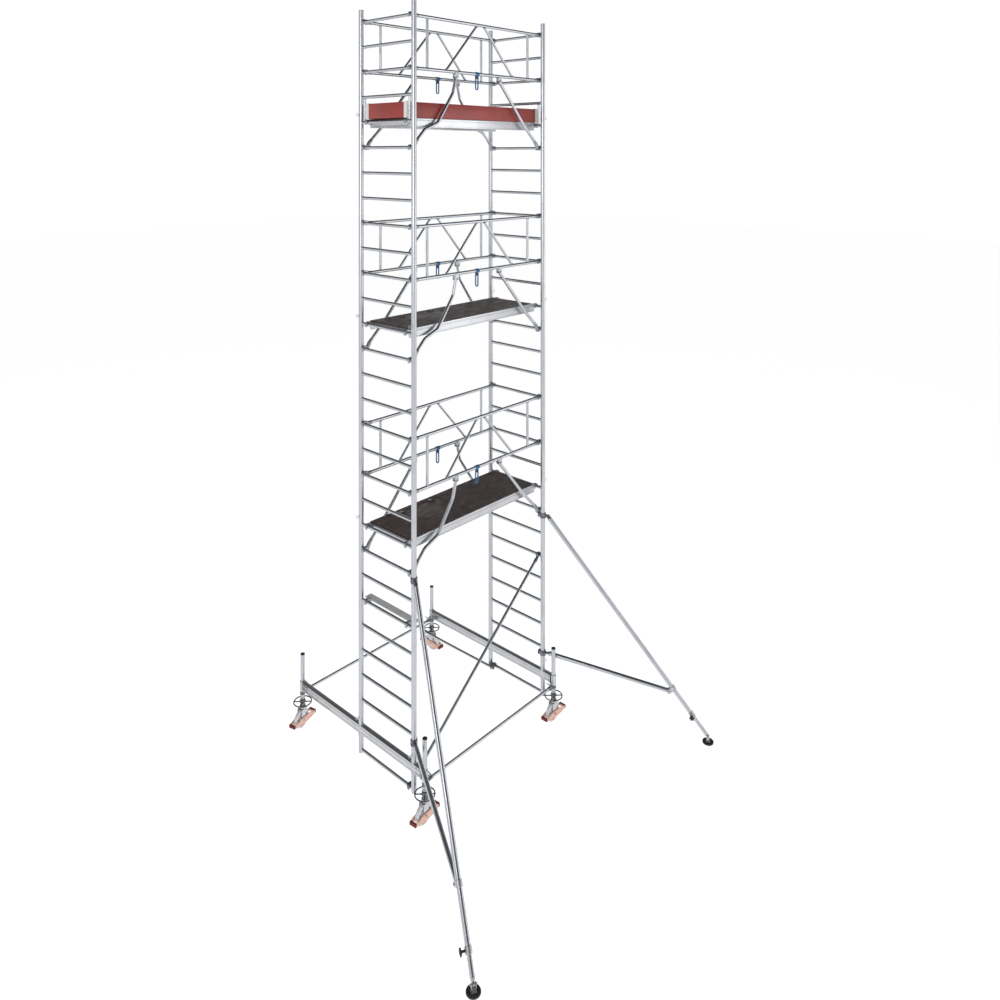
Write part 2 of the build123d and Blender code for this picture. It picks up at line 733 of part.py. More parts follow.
def strut_line(sign):
    """Start at the lower clamp, end at the leg collar's bolt, unit direction, and the collar's frame."""
    start, foot, way, outward = stabiliser_line(sign)
    joint = start + way * ((foot - start).length * STRUT_ALONG)
    across = Vector(0, 0, 1).cross(outward).normalized()
    inward = way.cross(across).normalized()
    if inward.Z > 0:
        inward = inward * -1
    lug_point = joint + inward * 52
    strut_start = Vector(sign * HALF_BAY, FRONT_Y, LOWER_CLAMP) + outward * 62
    return strut_start, lug_point, (lug_point - strut_start).normalized(), joint, across, inward


def stabiliser_leg(sign):
    """Outer leg tube, the strut and the collar that joins the strut to the leg."""
    start, foot, way, _ = stabiliser_line(sign)
    strut_start, lug_point, strut_way, joint, across, inward = strut_line(sign)
    length = (foot - start).length
    leg_head = start + way * 36
    leg_end = start + way * (length * LEG_END_ALONG[sign])
    leg = bar(tuple(leg_head), tuple(leg_end), LEG_OD) - bar(tuple(leg_head), tuple(leg_end), LEG_BORE)
    collar = bar(tuple(joint - way * 24), tuple(joint + way * 24), LEG_OD + 12)
    collar = collar - bar(tuple(joint - way * 40), tuple(joint + way * 40), LEG_OD)
    strut_end = lug_point - strut_way * 2
    strut = tube(tuple(strut_start + strut_way * 14), tuple(strut_end), STRUT_OD)
    lugs = []
    for side in (-1, 1):
        centre = joint + inward * 44 + across * (side * 24)
        plate = Plane(origin=tuple(centre), x_dir=tuple(inward), z_dir=tuple(across)) * Box(56, 40, 6)
        lugs.append(plate - bar(tuple(joint - way * 80), tuple(joint + way * 80), LEG_OD))
    bolt = bar(tuple(lug_point + across * 27), tuple(lug_point + across * 35), 20)
    bolt_back = bar(tuple(lug_point - across * 35), tuple(lug_point - across * 27), 20)
    boss_at = leg_end - way * 30
    sleeve = bar(tuple(boss_at - way * 22), tuple(boss_at + way * 26), LEG_OD + 10)
    sleeve = sleeve - bar(tuple(boss_at - way * 60), tuple(boss_at + way * 60), LEG_OD)
    collar_lugs = collar + lugs[0] + lugs[1]
    return [leg, strut, collar_lugs, bolt, bolt_back, sleeve]


def stabiliser_clamps(sign):
    """Hinged half-shell couplers that hold the leg and the strut to the post, with wing bolts."""
    _, _, way, outward = stabiliser_line(sign)
    _, _, strut_way, _, across, _ = strut_line(sign)
    post_axis = Vector(sign * HALF_BAY, FRONT_Y, 0)
    made = []
    for height, reach, tip_way, gauge in (
        (UPPER_CLAMP, 52.0, way, LEG_BORE - 0.4),
        (LOWER_CLAMP, 62.0, strut_way, STRUT_OD - 2 * TUBE_WALL - 0.4),
    ):
        centre = post_axis + Vector(0, 0, height)
        shell = bar(tuple(centre - Vector(0, 0, 26)), tuple(centre + Vector(0, 0, 26)), POST_OD + 16)
        bore = bar(tuple(centre - Vector(0, 0, 80)), tuple(centre + Vector(0, 0, 80)), POST_OD + FIT)
        ears = Plane(origin=tuple(centre - outward * 40), x_dir=tuple(outward), z_dir=(0, 0, 1)) * Box(30, 26, 36)
        neck = bar(tuple(centre + outward * 26), tuple(centre + outward * (reach + 6)), 26)
        spike_start = centre + outward * reach
        spike = bar(tuple(spike_start), tuple(spike_start + tip_way * 90), gauge)
        made.append(shell + ears + neck + spike - bore)
        screw_at = centre - outward * 42
        screw = bar(tuple(screw_at + across * 13), tuple(screw_at + across * 34), 12)
        wing = bar(
            tuple(screw_at + across * 34 - Vector(0, 0, 20)), tuple(screw_at + across * 34 + Vector(0, 0, 20)), 11
        )
        made.append(screw + wing)
    return made


def stabiliser_inner_leg(sign):
    """Inner leg tube that telescopes in the outer one, with the fork eye over the foot."""
    start, foot, way, outward = stabiliser_line(sign)
    length = (foot - start).length
    head = start + way * (length * LEG_END_ALONG[sign] - 640)
    end = foot - way * 40
    inner = bar(tuple(head), tuple(end), INNER_LEG_OD) - bar(tuple(head), tuple(end), INNER_LEG_OD - 5)
    plug = bar(tuple(end - way * 20), tuple(end), INNER_LEG_OD - 5)
    shank = bar(tuple(end), tuple(foot), 20)
    across = Vector(0, 0, 1).cross(outward).normalized()
    eye = bar(tuple(foot - across * 9), tuple(foot + across * 9), 28)
    shank = shank + eye
    pin = bar(tuple(foot - across * 30), tuple(foot + across * 30), 10)
    return [inner + plug + shank + pin]


def stabiliser_foot(sign):
    """Round rubber foot with the two lugs that take the swivel pin."""
    _, foot, _, outward = stabiliser_line(sign)
    across = Vector(0, 0, 1).cross(outward).normalized()
    disc = Pos(foot.X, foot.Y, FOOT_HEIGHT / 2) * Cylinder(FOOT_OD / 2, FOOT_HEIGHT)
    disc = fillet(disc.edges().sort_by(Axis.Z)[-1], 5)
    base = Vector(foot.X, foot.Y, 0)
    body = disc
    for side in (-1, 1):
        centre = base + across * (side * 17) + Vector(0, 0, (FOOT_HEIGHT + FOOT_PIN_HEIGHT + 14) / 2 - 1)
        height = FOOT_PIN_HEIGHT + 14 - FOOT_HEIGHT + 2
        lug = Plane(origin=tuple(centre), x_dir=tuple(outward), z_dir=(0, 0, 1)) * Box(30, 8, height)
        body = body + lug
    return [body - bar(tuple(foot - across * 60), tuple(foot + across * 60), 10 + FIT)]


def knob_seat(sign):
    """Foot of the star knob's axis on the leg sleeve, and the axis."""
    start, foot, way, outward = stabiliser_line(sign)
    across = Vector(0, 0, 1).cross(outward).normalized()
    facing = across * -1 if across.X > 0 else across
    at = start + way * ((foot - start).length * LEG_END_ALONG[sign] - 28)
    return at + facing * (LEG_OD / 2 + 5.3), facing


def star_knob(sign):
    """Star-shaped clamp knob with six lobes on a short stem."""
    at, facing = knob_seat(sign)
    seat = Plane(origin=tuple(at), z_dir=tuple(facing))
    stem = seat * Cylinder(9, 30, align=(Align.CENTER, Align.CENTER, Align.MIN))
    head = Cylinder(20, 16)
    for lobe in range(6):
        head = head + Rot(0, 0, 60 * lobe) * Pos(20, 0, 0) * Cylinder(8, 16)
    return [stem + seat * Pos(0, 0, 34) * head]


def main():
    """Writes every node."""
    os.makedirs("parts", exist_ok=True)
    write("chassis_beams", chassis_beam("left") + chassis_beam("right"))
    top = rung_height(29) + POST_ABOVE_RUNG
    write("frames_1m", frames(2, 4, frame_foot(6)))
    write("frames_2m_lower", frames(6, 8))
    write("frames_2m_middle", frames(14, 8))
    write("frames_2m_upper", frames(22, 8, top))
    write("frame_connectors", spigots() + clips())
    write("castor_brackets", castor_brackets())
    write("bracket_fasteners", bracket_bolts() + lock_levers())
    write("spindle_tubes", spindle_tubes())
    write("spindle_tube_caps", spindle_tube_caps())
    write("base_braces", base_braces())
    write("brace_fittings", brace_fittings())
    write("step_board", step_board())
    for name, x, y in castor_places():
        heading = CASTOR_HEADINGS[name]
        write(f"hand_wheel_{name}", [hand_wheel(x, y)])
        write(f"spindle_{name}", [spindle(x, y)])
        write(f"fork_{name}", [fork(x, y, heading)])
        write(f"wheel_{name}", [castor_wheel(x, y, heading)])
        write(f"brake_{name}", brake_rocker(x, y, heading) + brake_pads(x, y, heading))
    claws = []
    brackets = []
    grips = []
    for level in PLATFORM_RUNGS:
        write(f"guardrails_{level}", near_and_far(guardrail(level)))
        claws += near_and_far(guardrail_claws(level))
        brackets += near_and_far(leg_brackets(level))
        grips += near_and_far(grip_loops(level))
        write(f"platform_frame_{level}", platform_frame(level))
        write(f"hatch_{level}", hatch(level))
    write("guardrail_claws", claws)
    write("leg_brackets", brackets)
    write("grip_loops", grips)
    write("decks", [deck(level) for level in PLATFORM_RUNGS])
    write("hatch_knuckles", [piece for level in PLATFORM_RUNGS for piece in hatch_knuckles(level)])
    write("toe_boards", toe_boards())
    write("toe_board_holders", toe_board_holders())
    write("corner_bars", corner_bars())
    for side, sign in SIDES.items():
        write(f"stabiliser_leg_{side}", stabiliser_leg(sign))
        write(f"stabiliser_clamps_{side}", stabiliser_clamps(sign))
        write(f"stabiliser_inner_leg_{side}", stabiliser_inner_leg(sign))
        write(f"stabiliser_foot_{side}", stabiliser_foot(sign))
        write(f"star_knob_{side}", star_knob(sign))


if __name__ == "__main__":
    main()
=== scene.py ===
"""Mobile tower scaffold: tubes, profiles, boards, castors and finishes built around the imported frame."""

import json
import logging
import math
from dataclasses import dataclass, field
from enum import Enum

import bpy
import numpy as np
from numpy.typing import NDArray
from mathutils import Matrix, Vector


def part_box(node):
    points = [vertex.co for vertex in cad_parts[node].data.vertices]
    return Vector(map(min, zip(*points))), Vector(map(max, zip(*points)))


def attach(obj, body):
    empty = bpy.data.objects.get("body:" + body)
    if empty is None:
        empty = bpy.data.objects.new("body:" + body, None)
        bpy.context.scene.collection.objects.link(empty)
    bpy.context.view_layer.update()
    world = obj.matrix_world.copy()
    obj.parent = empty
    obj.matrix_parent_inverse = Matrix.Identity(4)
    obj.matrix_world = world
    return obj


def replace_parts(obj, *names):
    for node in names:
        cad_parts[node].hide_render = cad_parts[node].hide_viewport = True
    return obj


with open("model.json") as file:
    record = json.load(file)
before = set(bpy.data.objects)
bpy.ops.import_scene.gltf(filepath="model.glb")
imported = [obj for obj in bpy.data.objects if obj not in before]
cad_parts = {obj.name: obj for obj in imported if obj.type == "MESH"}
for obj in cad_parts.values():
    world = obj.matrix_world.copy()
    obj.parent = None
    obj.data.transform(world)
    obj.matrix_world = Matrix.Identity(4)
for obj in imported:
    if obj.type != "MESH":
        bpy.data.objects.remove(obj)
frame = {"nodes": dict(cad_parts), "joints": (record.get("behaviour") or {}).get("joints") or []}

Array = NDArray[np.float64]
Pair = tuple[float, float]
Triple = tuple[float, float, float]
Socket = bpy.types.NodeSocket
log = logging.getLogger("scaffold")

UP = np.array((0.0, 0.0, 1.0))
ALONG = np.array((1.0, 0.0, 0.0))
ACROSS = np.array((0.0, 1.0, 0.0))


class Slot(str, Enum):
    """Material slots of the record."""

    TUBE = "aluminium_tube"
    PROFILE = "aluminium_profile"
    ZINC = "zinc_steel"
    CAST = "cast_coupler"
    DECK = "plywood_deck"
    TOE = "toe_board_red"
    WHITE = "white_plastic"
    BLACK = "black_plastic"
    BLUE = "blue_plastic"
    TYRE = "castor_tyre"
    BRAKE = "brake_steel"
    RUBBER = "black_rubber"


# ---------------------------------------------------------------- surfaces


@dataclass
class Surface:
    """Points, faces and a texture coordinate for every face corner.

    The texture coordinate is in metres: u runs round a section and v along its path.
    """

    points: Array
    faces: list[list[int]]
    uv: Array

    def turned_half(self, y: float) -> "Surface":
        """The same surface, turned half round about the upright line at x = 0 and the given y."""
        turned = self.points * np.array((-1.0, -1.0, 1.0)) + np.array((0.0, 2 * y, 0.0))
        return Surface(turned, self.faces, self.uv)


@dataclass(frozen=True)
class Place:
    """A local frame: its origin and its three unit axes in the tower's frame."""

    origin: Array
    x_dir: Array
    y_dir: Array
    z_dir: Array

    @classmethod
    def on(cls, origin: Array, z_dir: Array, x_hint: Array) -> "Place":
        """A frame whose z is z_dir and whose x is as near to x_hint as it can be."""
        z = np.asarray(z_dir, float) / np.linalg.norm(z_dir)
        x = np.asarray(x_hint, float) - z * np.dot(x_hint, z)
        x = x / np.linalg.norm(x)
        return cls(np.asarray(origin, float), x, np.cross(z, x), z)

    def world(self, local: Array) -> Array:
        """Local points as points of the tower."""
        axes = np.stack([self.x_dir, self.y_dir, self.z_dir])
        return self.origin + local @ axes


def joined(parts: list[Surface]) -> Surface:
    """Several surfaces as one, with each one's corner numbers raised by the points before it."""
    shift, faces = 0, []
    for part in parts:
        faces += (np.array(part.faces) + shift).tolist() if uniform(part.faces) else [
            [corner + shift for corner in face] for face in part.faces
        ]
        shift += len(part.points)
    points = np.concatenate([part.points for part in parts])
    return Surface(points, faces, np.concatenate([part.uv for part in parts]))


def uniform(faces: list[list[int]]) -> bool:
    """Whether every face has the same number of corners."""
    return len({len(face) for face in faces}) == 1


def copies(part: Surface, shifts: Array) -> Surface:
    """A surface repeated once for each shift: every copy's points are the points plus that shift."""
    shifts = np.asarray(shifts, float)
    count = len(part.points)
    points = (part.points[None] + shifts[:, None]).reshape(-1, 3)
    faces: list[list[int]] = []
    for number in range(len(shifts)):
        faces += [[corner + number * count for corner in face] for face in part.faces]
    return Surface(points, faces, np.tile(part.uv, (len(shifts), 1)))


def grid(points: Array, u: Array, v: Array, wrap_rows: bool = False, caps: bool = False) -> Surface:
    """Quads over a grid of points whose columns close into a ring.

    Row i and column j make the corner; each quad joins columns j, j+1 and rows i, i+1, which faces
    outwards where columns run counter-clockwise about the row direction.

    Args:
        points: Grid of points, rows by columns by 3.
        u: Texture distance of each column, one more than there are columns.
        v: Texture distance of each row, one more than there are rows where rows wrap.
        wrap_rows: Whether the last row joins the first, as in a tube with a wall.
        caps: Whether the first and last rows are closed by one face each.

    Returns:
        The surface.
    """
    rows, columns = points.shape[:2]
    i, j = np.meshgrid(np.arange(rows if wrap_rows else rows - 1), np.arange(columns), indexing="ij")
    i2, j2 = (i + 1) % rows, (j + 1) % columns
    quads = np.stack([i * columns + j, i * columns + j2, i2 * columns + j2, i2 * columns + j], -1)
    corner_u = np.stack([u[j], u[j + 1], u[j + 1], u[j]], -1)
    corner_v = np.stack([v[i], v[i], v[i + 1], v[i + 1]], -1)
    uv = np.stack([corner_u, corner_v], -1).reshape(-1, 2)
    faces = quads.reshape(-1, 4).tolist()
    if caps:
        faces.append(list(range(columns))[::-1])
        faces.append([(rows - 1) * columns + j for j in range(columns)])
        first, last = points[0].reshape(-1, 3), points[-1].reshape(-1, 3)
        uv = np.concatenate([uv, flat_uv(first)[::-1], flat_uv(last)])
    return Surface(points.reshape(-1, 3), faces, uv)


def flat_uv(ring: Array) -> Array:
    """Texture coordinates of a flat ring: its two widest world directions."""
    keep = np.sort(np.argsort(np.ptp(ring, axis=0))[-2:])
    return ring[:, keep]


def full_turn(steps: int, closed: bool = False) -> Array:
    """Angles of equal steps round a circle from zero; closed adds the angle of the whole turn."""
    return np.arange(steps + closed) * (2 * math.pi / steps)


def circle(radius: float, sides: int) -> Array:
    """Points of a circle, counter-clockwise from its local x."""
    angle = full_turn(sides)
    return np.stack([np.cos(angle), np.sin(angle)], -1) * radius


def rounded_box(width: float, height: float, corner: float, steps: int = 4) -> Array:
    """Outline of a box with rounded corners: a quarter circle about each corner's centre."""
    angle = np.linspace(0, math.pi / 2, steps)
    quarter = np.stack([np.cos(angle), np.sin(angle)], -1) * corner
    turns = [np.array(((1, 0), (0, 1))), np.array(((0, 1), (-1, 0)))]
    turns += [-turns[0], -turns[1]]
    centres = np.array(((1, 1), (-1, 1), (-1, -1), (1, -1))) * (width / 2 - corner, height / 2 - corner)
    return np.concatenate([quarter @ turn + centre for turn, centre in zip(turns, centres)])


def ring_lengths(outline: Array) -> Array:
    """Distance round a closed outline at each point, ending with the whole way round."""
    steps = np.linalg.norm(np.diff(outline, axis=0, append=outline[:1]), axis=1)
    return np.concatenate([[0.0], np.cumsum(steps)])


def path_frames(path: Array, side: Array) -> tuple[Array, Array]:
    """The two directions that a section lies in at each point of a path.

    The tangent is the mean of the two runs that meet; the first direction is the side vector made
    square to the tangent, and the second is the tangent crossed with the first.
    """
    runs = np.diff(path, axis=0)
    runs = runs / np.linalg.norm(runs, axis=1, keepdims=True)
    tangent = np.concatenate([runs[:1], runs[:-1] + runs[1:], runs[-1:]])
    tangent = tangent / np.linalg.norm(tangent, axis=1, keepdims=True)
    first = side - tangent * (tangent @ side)[:, None]
    first = first / np.linalg.norm(first, axis=1, keepdims=True)
    return first, np.cross(tangent, first)


def square_to(way: Array) -> Array:
    """A world axis that is far from being along the way."""
    return ACROSS if abs(way[1]) < 0.7 * np.linalg.norm(way) else ALONG


def swept(path: Array, outline: Array, side: Array, bevel: float = 0.0008) -> Surface:
    """A solid section carried along a path: each ring is path point + x * first + y * second.

    The outline shrinks by the bevel at both ends, and one face closes each end.
    """
    path = np.asarray(path, float)
    first, second = path_frames(path, side)
    shrink = 1 - bevel / np.abs(outline).max()
    scale = np.concatenate([[shrink], np.ones(len(path)), [shrink]])
    rows = np.concatenate([[0], np.arange(len(path)), [len(path) - 1]])
    ends = np.zeros(len(rows))
    ends[1], ends[-2] = bevel, -bevel
    tangent = np.cross(first, second)
    section = outline[None] * scale[:, None, None]
    points = path[rows][:, None] + tangent[rows][:, None] * ends[:, None, None]
    points = points + section[..., :1] * first[rows][:, None] + section[..., 1:] * second[rows][:, None]
    run = np.concatenate([[0.0], np.cumsum(np.linalg.norm(np.diff(path, axis=0), axis=1))])
    return grid(points, ring_lengths(outline), run[rows] + ends, caps=True)


def tube(path: Array, radius: float, wall: float, side: Array | None = None, sides: int = 28) -> Surface:
    """A round tube with an open bore: outer rings along the path, then inner rings back, closed on itself.

    The two outer end rings are drawn in by half a millimetre, which breaks the sharp edge.
    """
    path = np.asarray(path, float)
    side = square_to(path[-1] - path[0]) if side is None else side
    first, second = path_frames(path, side)
    tangent = np.cross(first, second)
    last = len(path) - 1
    chamfer = 0.0005
    rows = np.concatenate([[0], np.arange(last + 1), [last], np.arange(last, -1, -1)])
    drawn, outer, inner = [radius - chamfer], np.full(last + 1, radius), np.full(last + 1, radius - wall)
    reach = np.concatenate([drawn, outer, drawn, inner])
    ends = np.zeros(len(rows))
    ends[1], ends[last + 1] = chamfer, -chamfer
    ring = circle(1.0, sides)
    points = path[rows][:, None] + tangent[rows][:, None] * ends[:, None, None]
    section = ring[None, :, :1] * first[rows][:, None] + ring[None, :, 1:] * second[rows][:, None]
    points = points + reach[:, None, None] * section
    run = np.concatenate([[0.0], np.cumsum(np.linalg.norm(np.diff(path, axis=0), axis=1))])
    v = np.concatenate([run[rows] + ends, [0.0]])
    return grid(points, ring_lengths(ring * radius), v, wrap_rows=True)


def turned(
    profile: Array,
    place: Place,
    sides: int = 32,
    lobes: int = 0,
    depth: float = 0.0,
    hollow: bool = False,
) -> Surface:
    """A profile of (radius, height) rows turned about the place's z.

    Each point is height * z + radius * (cos a * x + sin a * y). With lobes, the radius grows by
    depth * cos(lobes * a) times its share of the largest radius.

    Args:
        profile: Rows of radius and height; outer rows run up the axis.
        place: The local frame.
        sides: Points in each ring.
        lobes: Number of lobes round the axis.
        depth: Height of a lobe over the mean radius.
        hollow: Whether the last row joins the first, which leaves a bore.

    Returns:
        The surface.
    """
    profile = np.asarray(profile, float)
    angle = full_turn(sides)
    radius = profile[:, :1] + depth * np.cos(lobes * angle)[None] * (profile[:, :1] / profile[:, 0].max())
    heights = np.broadcast_to(profile[:, 1:], radius.shape)
    local = np.stack([radius * np.cos(angle), radius * np.sin(angle), heights], -1)
    u = full_turn(sides, True) * profile[:, 0].max()
    v = np.concatenate([[0.0], np.cumsum(np.linalg.norm(np.diff(profile, axis=0), axis=1))])
    v = np.append(v, 0.0) if hollow else v
    return grid(place.world(local), u, v, wrap_rows=hollow, caps=not hollow)


def plate(outline: Array, thickness: float, place: Place, bevel: float = 0.001) -> Surface:
    """A flat outline with thickness: four rings, the outer two drawn in along the corners' normals."""
    outline = np.asarray(outline, float)
    before = outline - np.roll(outline, 1, axis=0)
    after = np.roll(outline, -1, axis=0) - outline
    normal = np.stack([(before + after)[:, 1], -(before + after)[:, 0]], -1)
    normal = normal / np.linalg.norm(normal, axis=1, keepdims=True)
    drawn = outline - normal * bevel
    half = thickness / 2
    heights = np.array((-half, -half + bevel, half - bevel, half))
    rings = [drawn, outline, outline, drawn]
    local = np.stack([np.column_stack([ring, np.full(len(ring), z)]) for ring, z in zip(rings, heights)])
    return grid(place.world(local), ring_lengths(outline), heights - heights[0], caps=True)


def doughnut(
    place: Place,
    ring: float,
    section: float,
    sides: int = 40,
    around: int = 10,
    waves: int = 0,
    swell: float = 0.0,
) -> Surface:
    """A round section carried round a circle; with waves, the section swells by cos(waves * a)."""
    angle = full_turn(sides)
    turn = full_turn(around)
    thick = section * (1 + swell * np.cos(waves * angle))
    radius = ring + thick[None] * np.cos(turn)[:, None]
    height = thick[None] * np.sin(turn)[:, None]
    local = np.stack([radius * np.cos(angle), radius * np.sin(angle), height], -1)
    u = full_turn(sides, True) * ring
    v = full_turn(around, True) * section
    return grid(place.world(local), u, v, wrap_rows=True)


def rounded_route(route: Array, radius: float, steps: int = 8) -> Array:
    """A route of straight runs with each inner corner replaced by an arc of the given radius.

    The arc starts radius * tan(turn / 2) before the corner and is swung about the centre that lies
    on the corner's bisector.
    """
    route = np.asarray(route, float)
    points = [route[:1]]
    for before, corner, after in zip(route, route[1:], route[2:]):
        back = (before - corner) / np.linalg.norm(before - corner)
        ahead = (after - corner) / np.linalg.norm(after - corner)
        turn = math.pi - math.acos(float(np.clip(back @ ahead, -1, 1)))
        share = radius * math.tan(turn / 2)
        bisector = (back + ahead) / np.linalg.norm(back + ahead)
        centre = corner + bisector * (radius / math.cos(turn / 2))
        start, end = corner + back * share - centre, corner + ahead * share - centre
        t = np.linspace(0, 1, steps)[:, None]
        arc = start * np.sin((1 - t) * turn) + end * np.sin(t * turn)
        points.append(centre + arc / math.sin(turn))
    points.append(route[-1:])
    return np.concatenate(points)


def weld(at: Array, axis: Array, radius: float, bead: float = 0.0028) -> Surface:
    """A rippled bead of weld round the foot of a tube."""
    place = Place.on(at, axis, square_to(np.asarray(axis, float)))
    return doughnut(place, radius, bead, sides=32, around=6, waves=16, swell=0.16)


def saddle_rung(
    x: float, front: float, rear: float, z: float, radius: float, post: float, wall: float
) -> Surface:
    """A rung between two posts, its ends cut to the posts' curve.

    At the angle a the end lies sqrt(post^2 - (radius cos a)^2) from the post's axis, so the end
    ring follows the round of the post.
    """
    sides = 28
    ring = circle(1.0, sides)
    rows = [(radius, front, 1.0), (radius, rear, -1.0)]
    rows += [(radius - wall, end, sign) for _, end, sign in rows[::-1]]
    points = []
    for reach, end, sign in rows:
        offset = ring * reach
        y = end + sign * np.sqrt(post**2 - offset[:, 0] ** 2)
        points.append(np.column_stack([x - offset[:, 0], y, z + offset[:, 1]]))
    v = np.array((0.0, rear - front, rear - front, 0.0, 0.0))
    return grid(np.stack(points), ring_lengths(ring * radius), v, wrap_rows=True)


def saddle_weld(x: float, y: float, z: float, sign: float, radius: float, post: float) -> Surface:
    """A bead of weld along the curve where a rung meets its post.

    The bead's middle follows the end of the rung, and its round section swells sixteen times.
    """
    sides, around, bead = 32, 6, 0.0026
    angle = full_turn(sides) * sign
    turn = full_turn(around)
    thick = bead * (1 + 0.15 * np.cos(16 * angle))
    reach = radius + thick[None] * np.cos(turn)[:, None]
    middle = np.sqrt(post**2 - (radius * np.cos(angle)) ** 2)
    out = y + sign * (middle[None] + thick[None] * np.sin(turn)[:, None])
    points = np.stack([x - reach * np.cos(angle), out, z + reach * np.sin(angle) * sign], -1)
    return grid(points, np.arange(sides + 1) * 0.003, np.arange(around + 1) * bead, wrap_rows=True)


def rod(start: Array, end: Array, radius: float, sides: int = 24) -> Surface:
    """A solid round bar between two points."""
    path = np.array((start, end), float)
    return swept(path, circle(radius, sides), square_to(path[1] - path[0]))


def member(start: Array, end: Array, radius: float, wall: float = 0.0016) -> Surface:
    """A straight tube between two points."""
    return tube(np.array((start, end), float), radius, wall)


def hexagon(across_flats: float) -> Array:
    """Outline of a hexagon."""
    return circle(across_flats / math.sqrt(3), 6)


def arc_points(centre: Pair, radius: float, start: float, end: float, steps: int) -> Array:
    """Points of an arc between two angles in degrees, about a centre."""
    angle = np.radians(np.linspace(start, end, steps))
    return np.stack([np.cos(angle), np.sin(angle)], -1) * radius + np.array(centre)


def hook_outline(rung: float, back: float, wall: float = 0.009) -> Array:
    """Side view of a hook over a rung at the origin: an outer bend, a lip, the throat and a body to the back.

    The throat is a half circle a little wider than the rung; the body reaches back along +x and
    its corners are rounded.
    """
    throat = rung + 0.0003
    outer = arc_points((0.0, 0.004), throat + wall, 100, 180, 8)
    lip = np.array(((-throat - wall, -0.016), (-throat - wall * 0.6, -0.023), (-throat - 0.0005, -0.022)))
    inner = arc_points((0.0, 0.0), throat, 180, 0, 13)
    foot = np.array(((throat, -0.020), (throat + 0.004, -0.023), (back - 0.006, -0.023), (back, -0.017)))
    head = np.array(((back, 0.020), (back - 0.006, 0.026), (0.012, 0.029)))
    return np.concatenate([outer, lip, inner, foot, head])


def hook(at: Array, sign: float, width: float, back: float, rung: float = 0.016) -> Surface:
    """A hook plate over a rung that lies along Y; sign points to the bay's outside."""
    outline = hook_outline(rung, back)
    place = Place(np.asarray(at, float), np.array((-sign, 0.0, 0.0)), UP, np.array((0.0, sign, 0.0)))
    return plate(outline, width, place, 0.0016)


def sheet_object(
    name: str, surface: Surface, body: str, finish: "Finish", smooth: float = 38.0
) -> bpy.types.Object:
    """Puts a surface into the scene as one piece.

    Args:
        name: The piece's name.
        surface: Its points, faces and texture coordinates.
        body: The body that it rides on.
        finish: What it is dressed in.
        smooth: Edges that turn by more than this many degrees stay sharp.

    Returns:
        The piece.
    """
    mesh = bpy.data.meshes.new(name)
    mesh.from_pydata(surface.points, [], surface.faces)
    layer = mesh.uv_layers.new(name="grain")
    layer.data.foreach_set("uv", surface.uv.astype(np.float32).ravel())
    mesh.polygons.foreach_set("use_smooth", np.ones(len(mesh.polygons), bool))
    mesh.set_sharp_from_angle(angle=math.radians(smooth))
    mesh.materials.append(finish.material())
    mesh.update()
    piece = bpy.data.objects.new(name, mesh)
    bpy.context.scene.collection.objects.link(piece)
    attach(piece, body)
    log.info("%s: %d faces on %s", name, len(surface.faces), body)
    return piece


def dress_node(node: str, finish: "Finish") -> None:
    """Gives a carried-over part of the frame its finish."""
    part = frame["nodes"][node]
    if not part.material_slots:
        part.data.materials.append(finish.material())
    for seat in part.material_slots:
        seat.material = finish.material()
    log.info("%s keeps its shape and wears %s", node, finish.name)


# ---------------------------------------------------------------- finishes


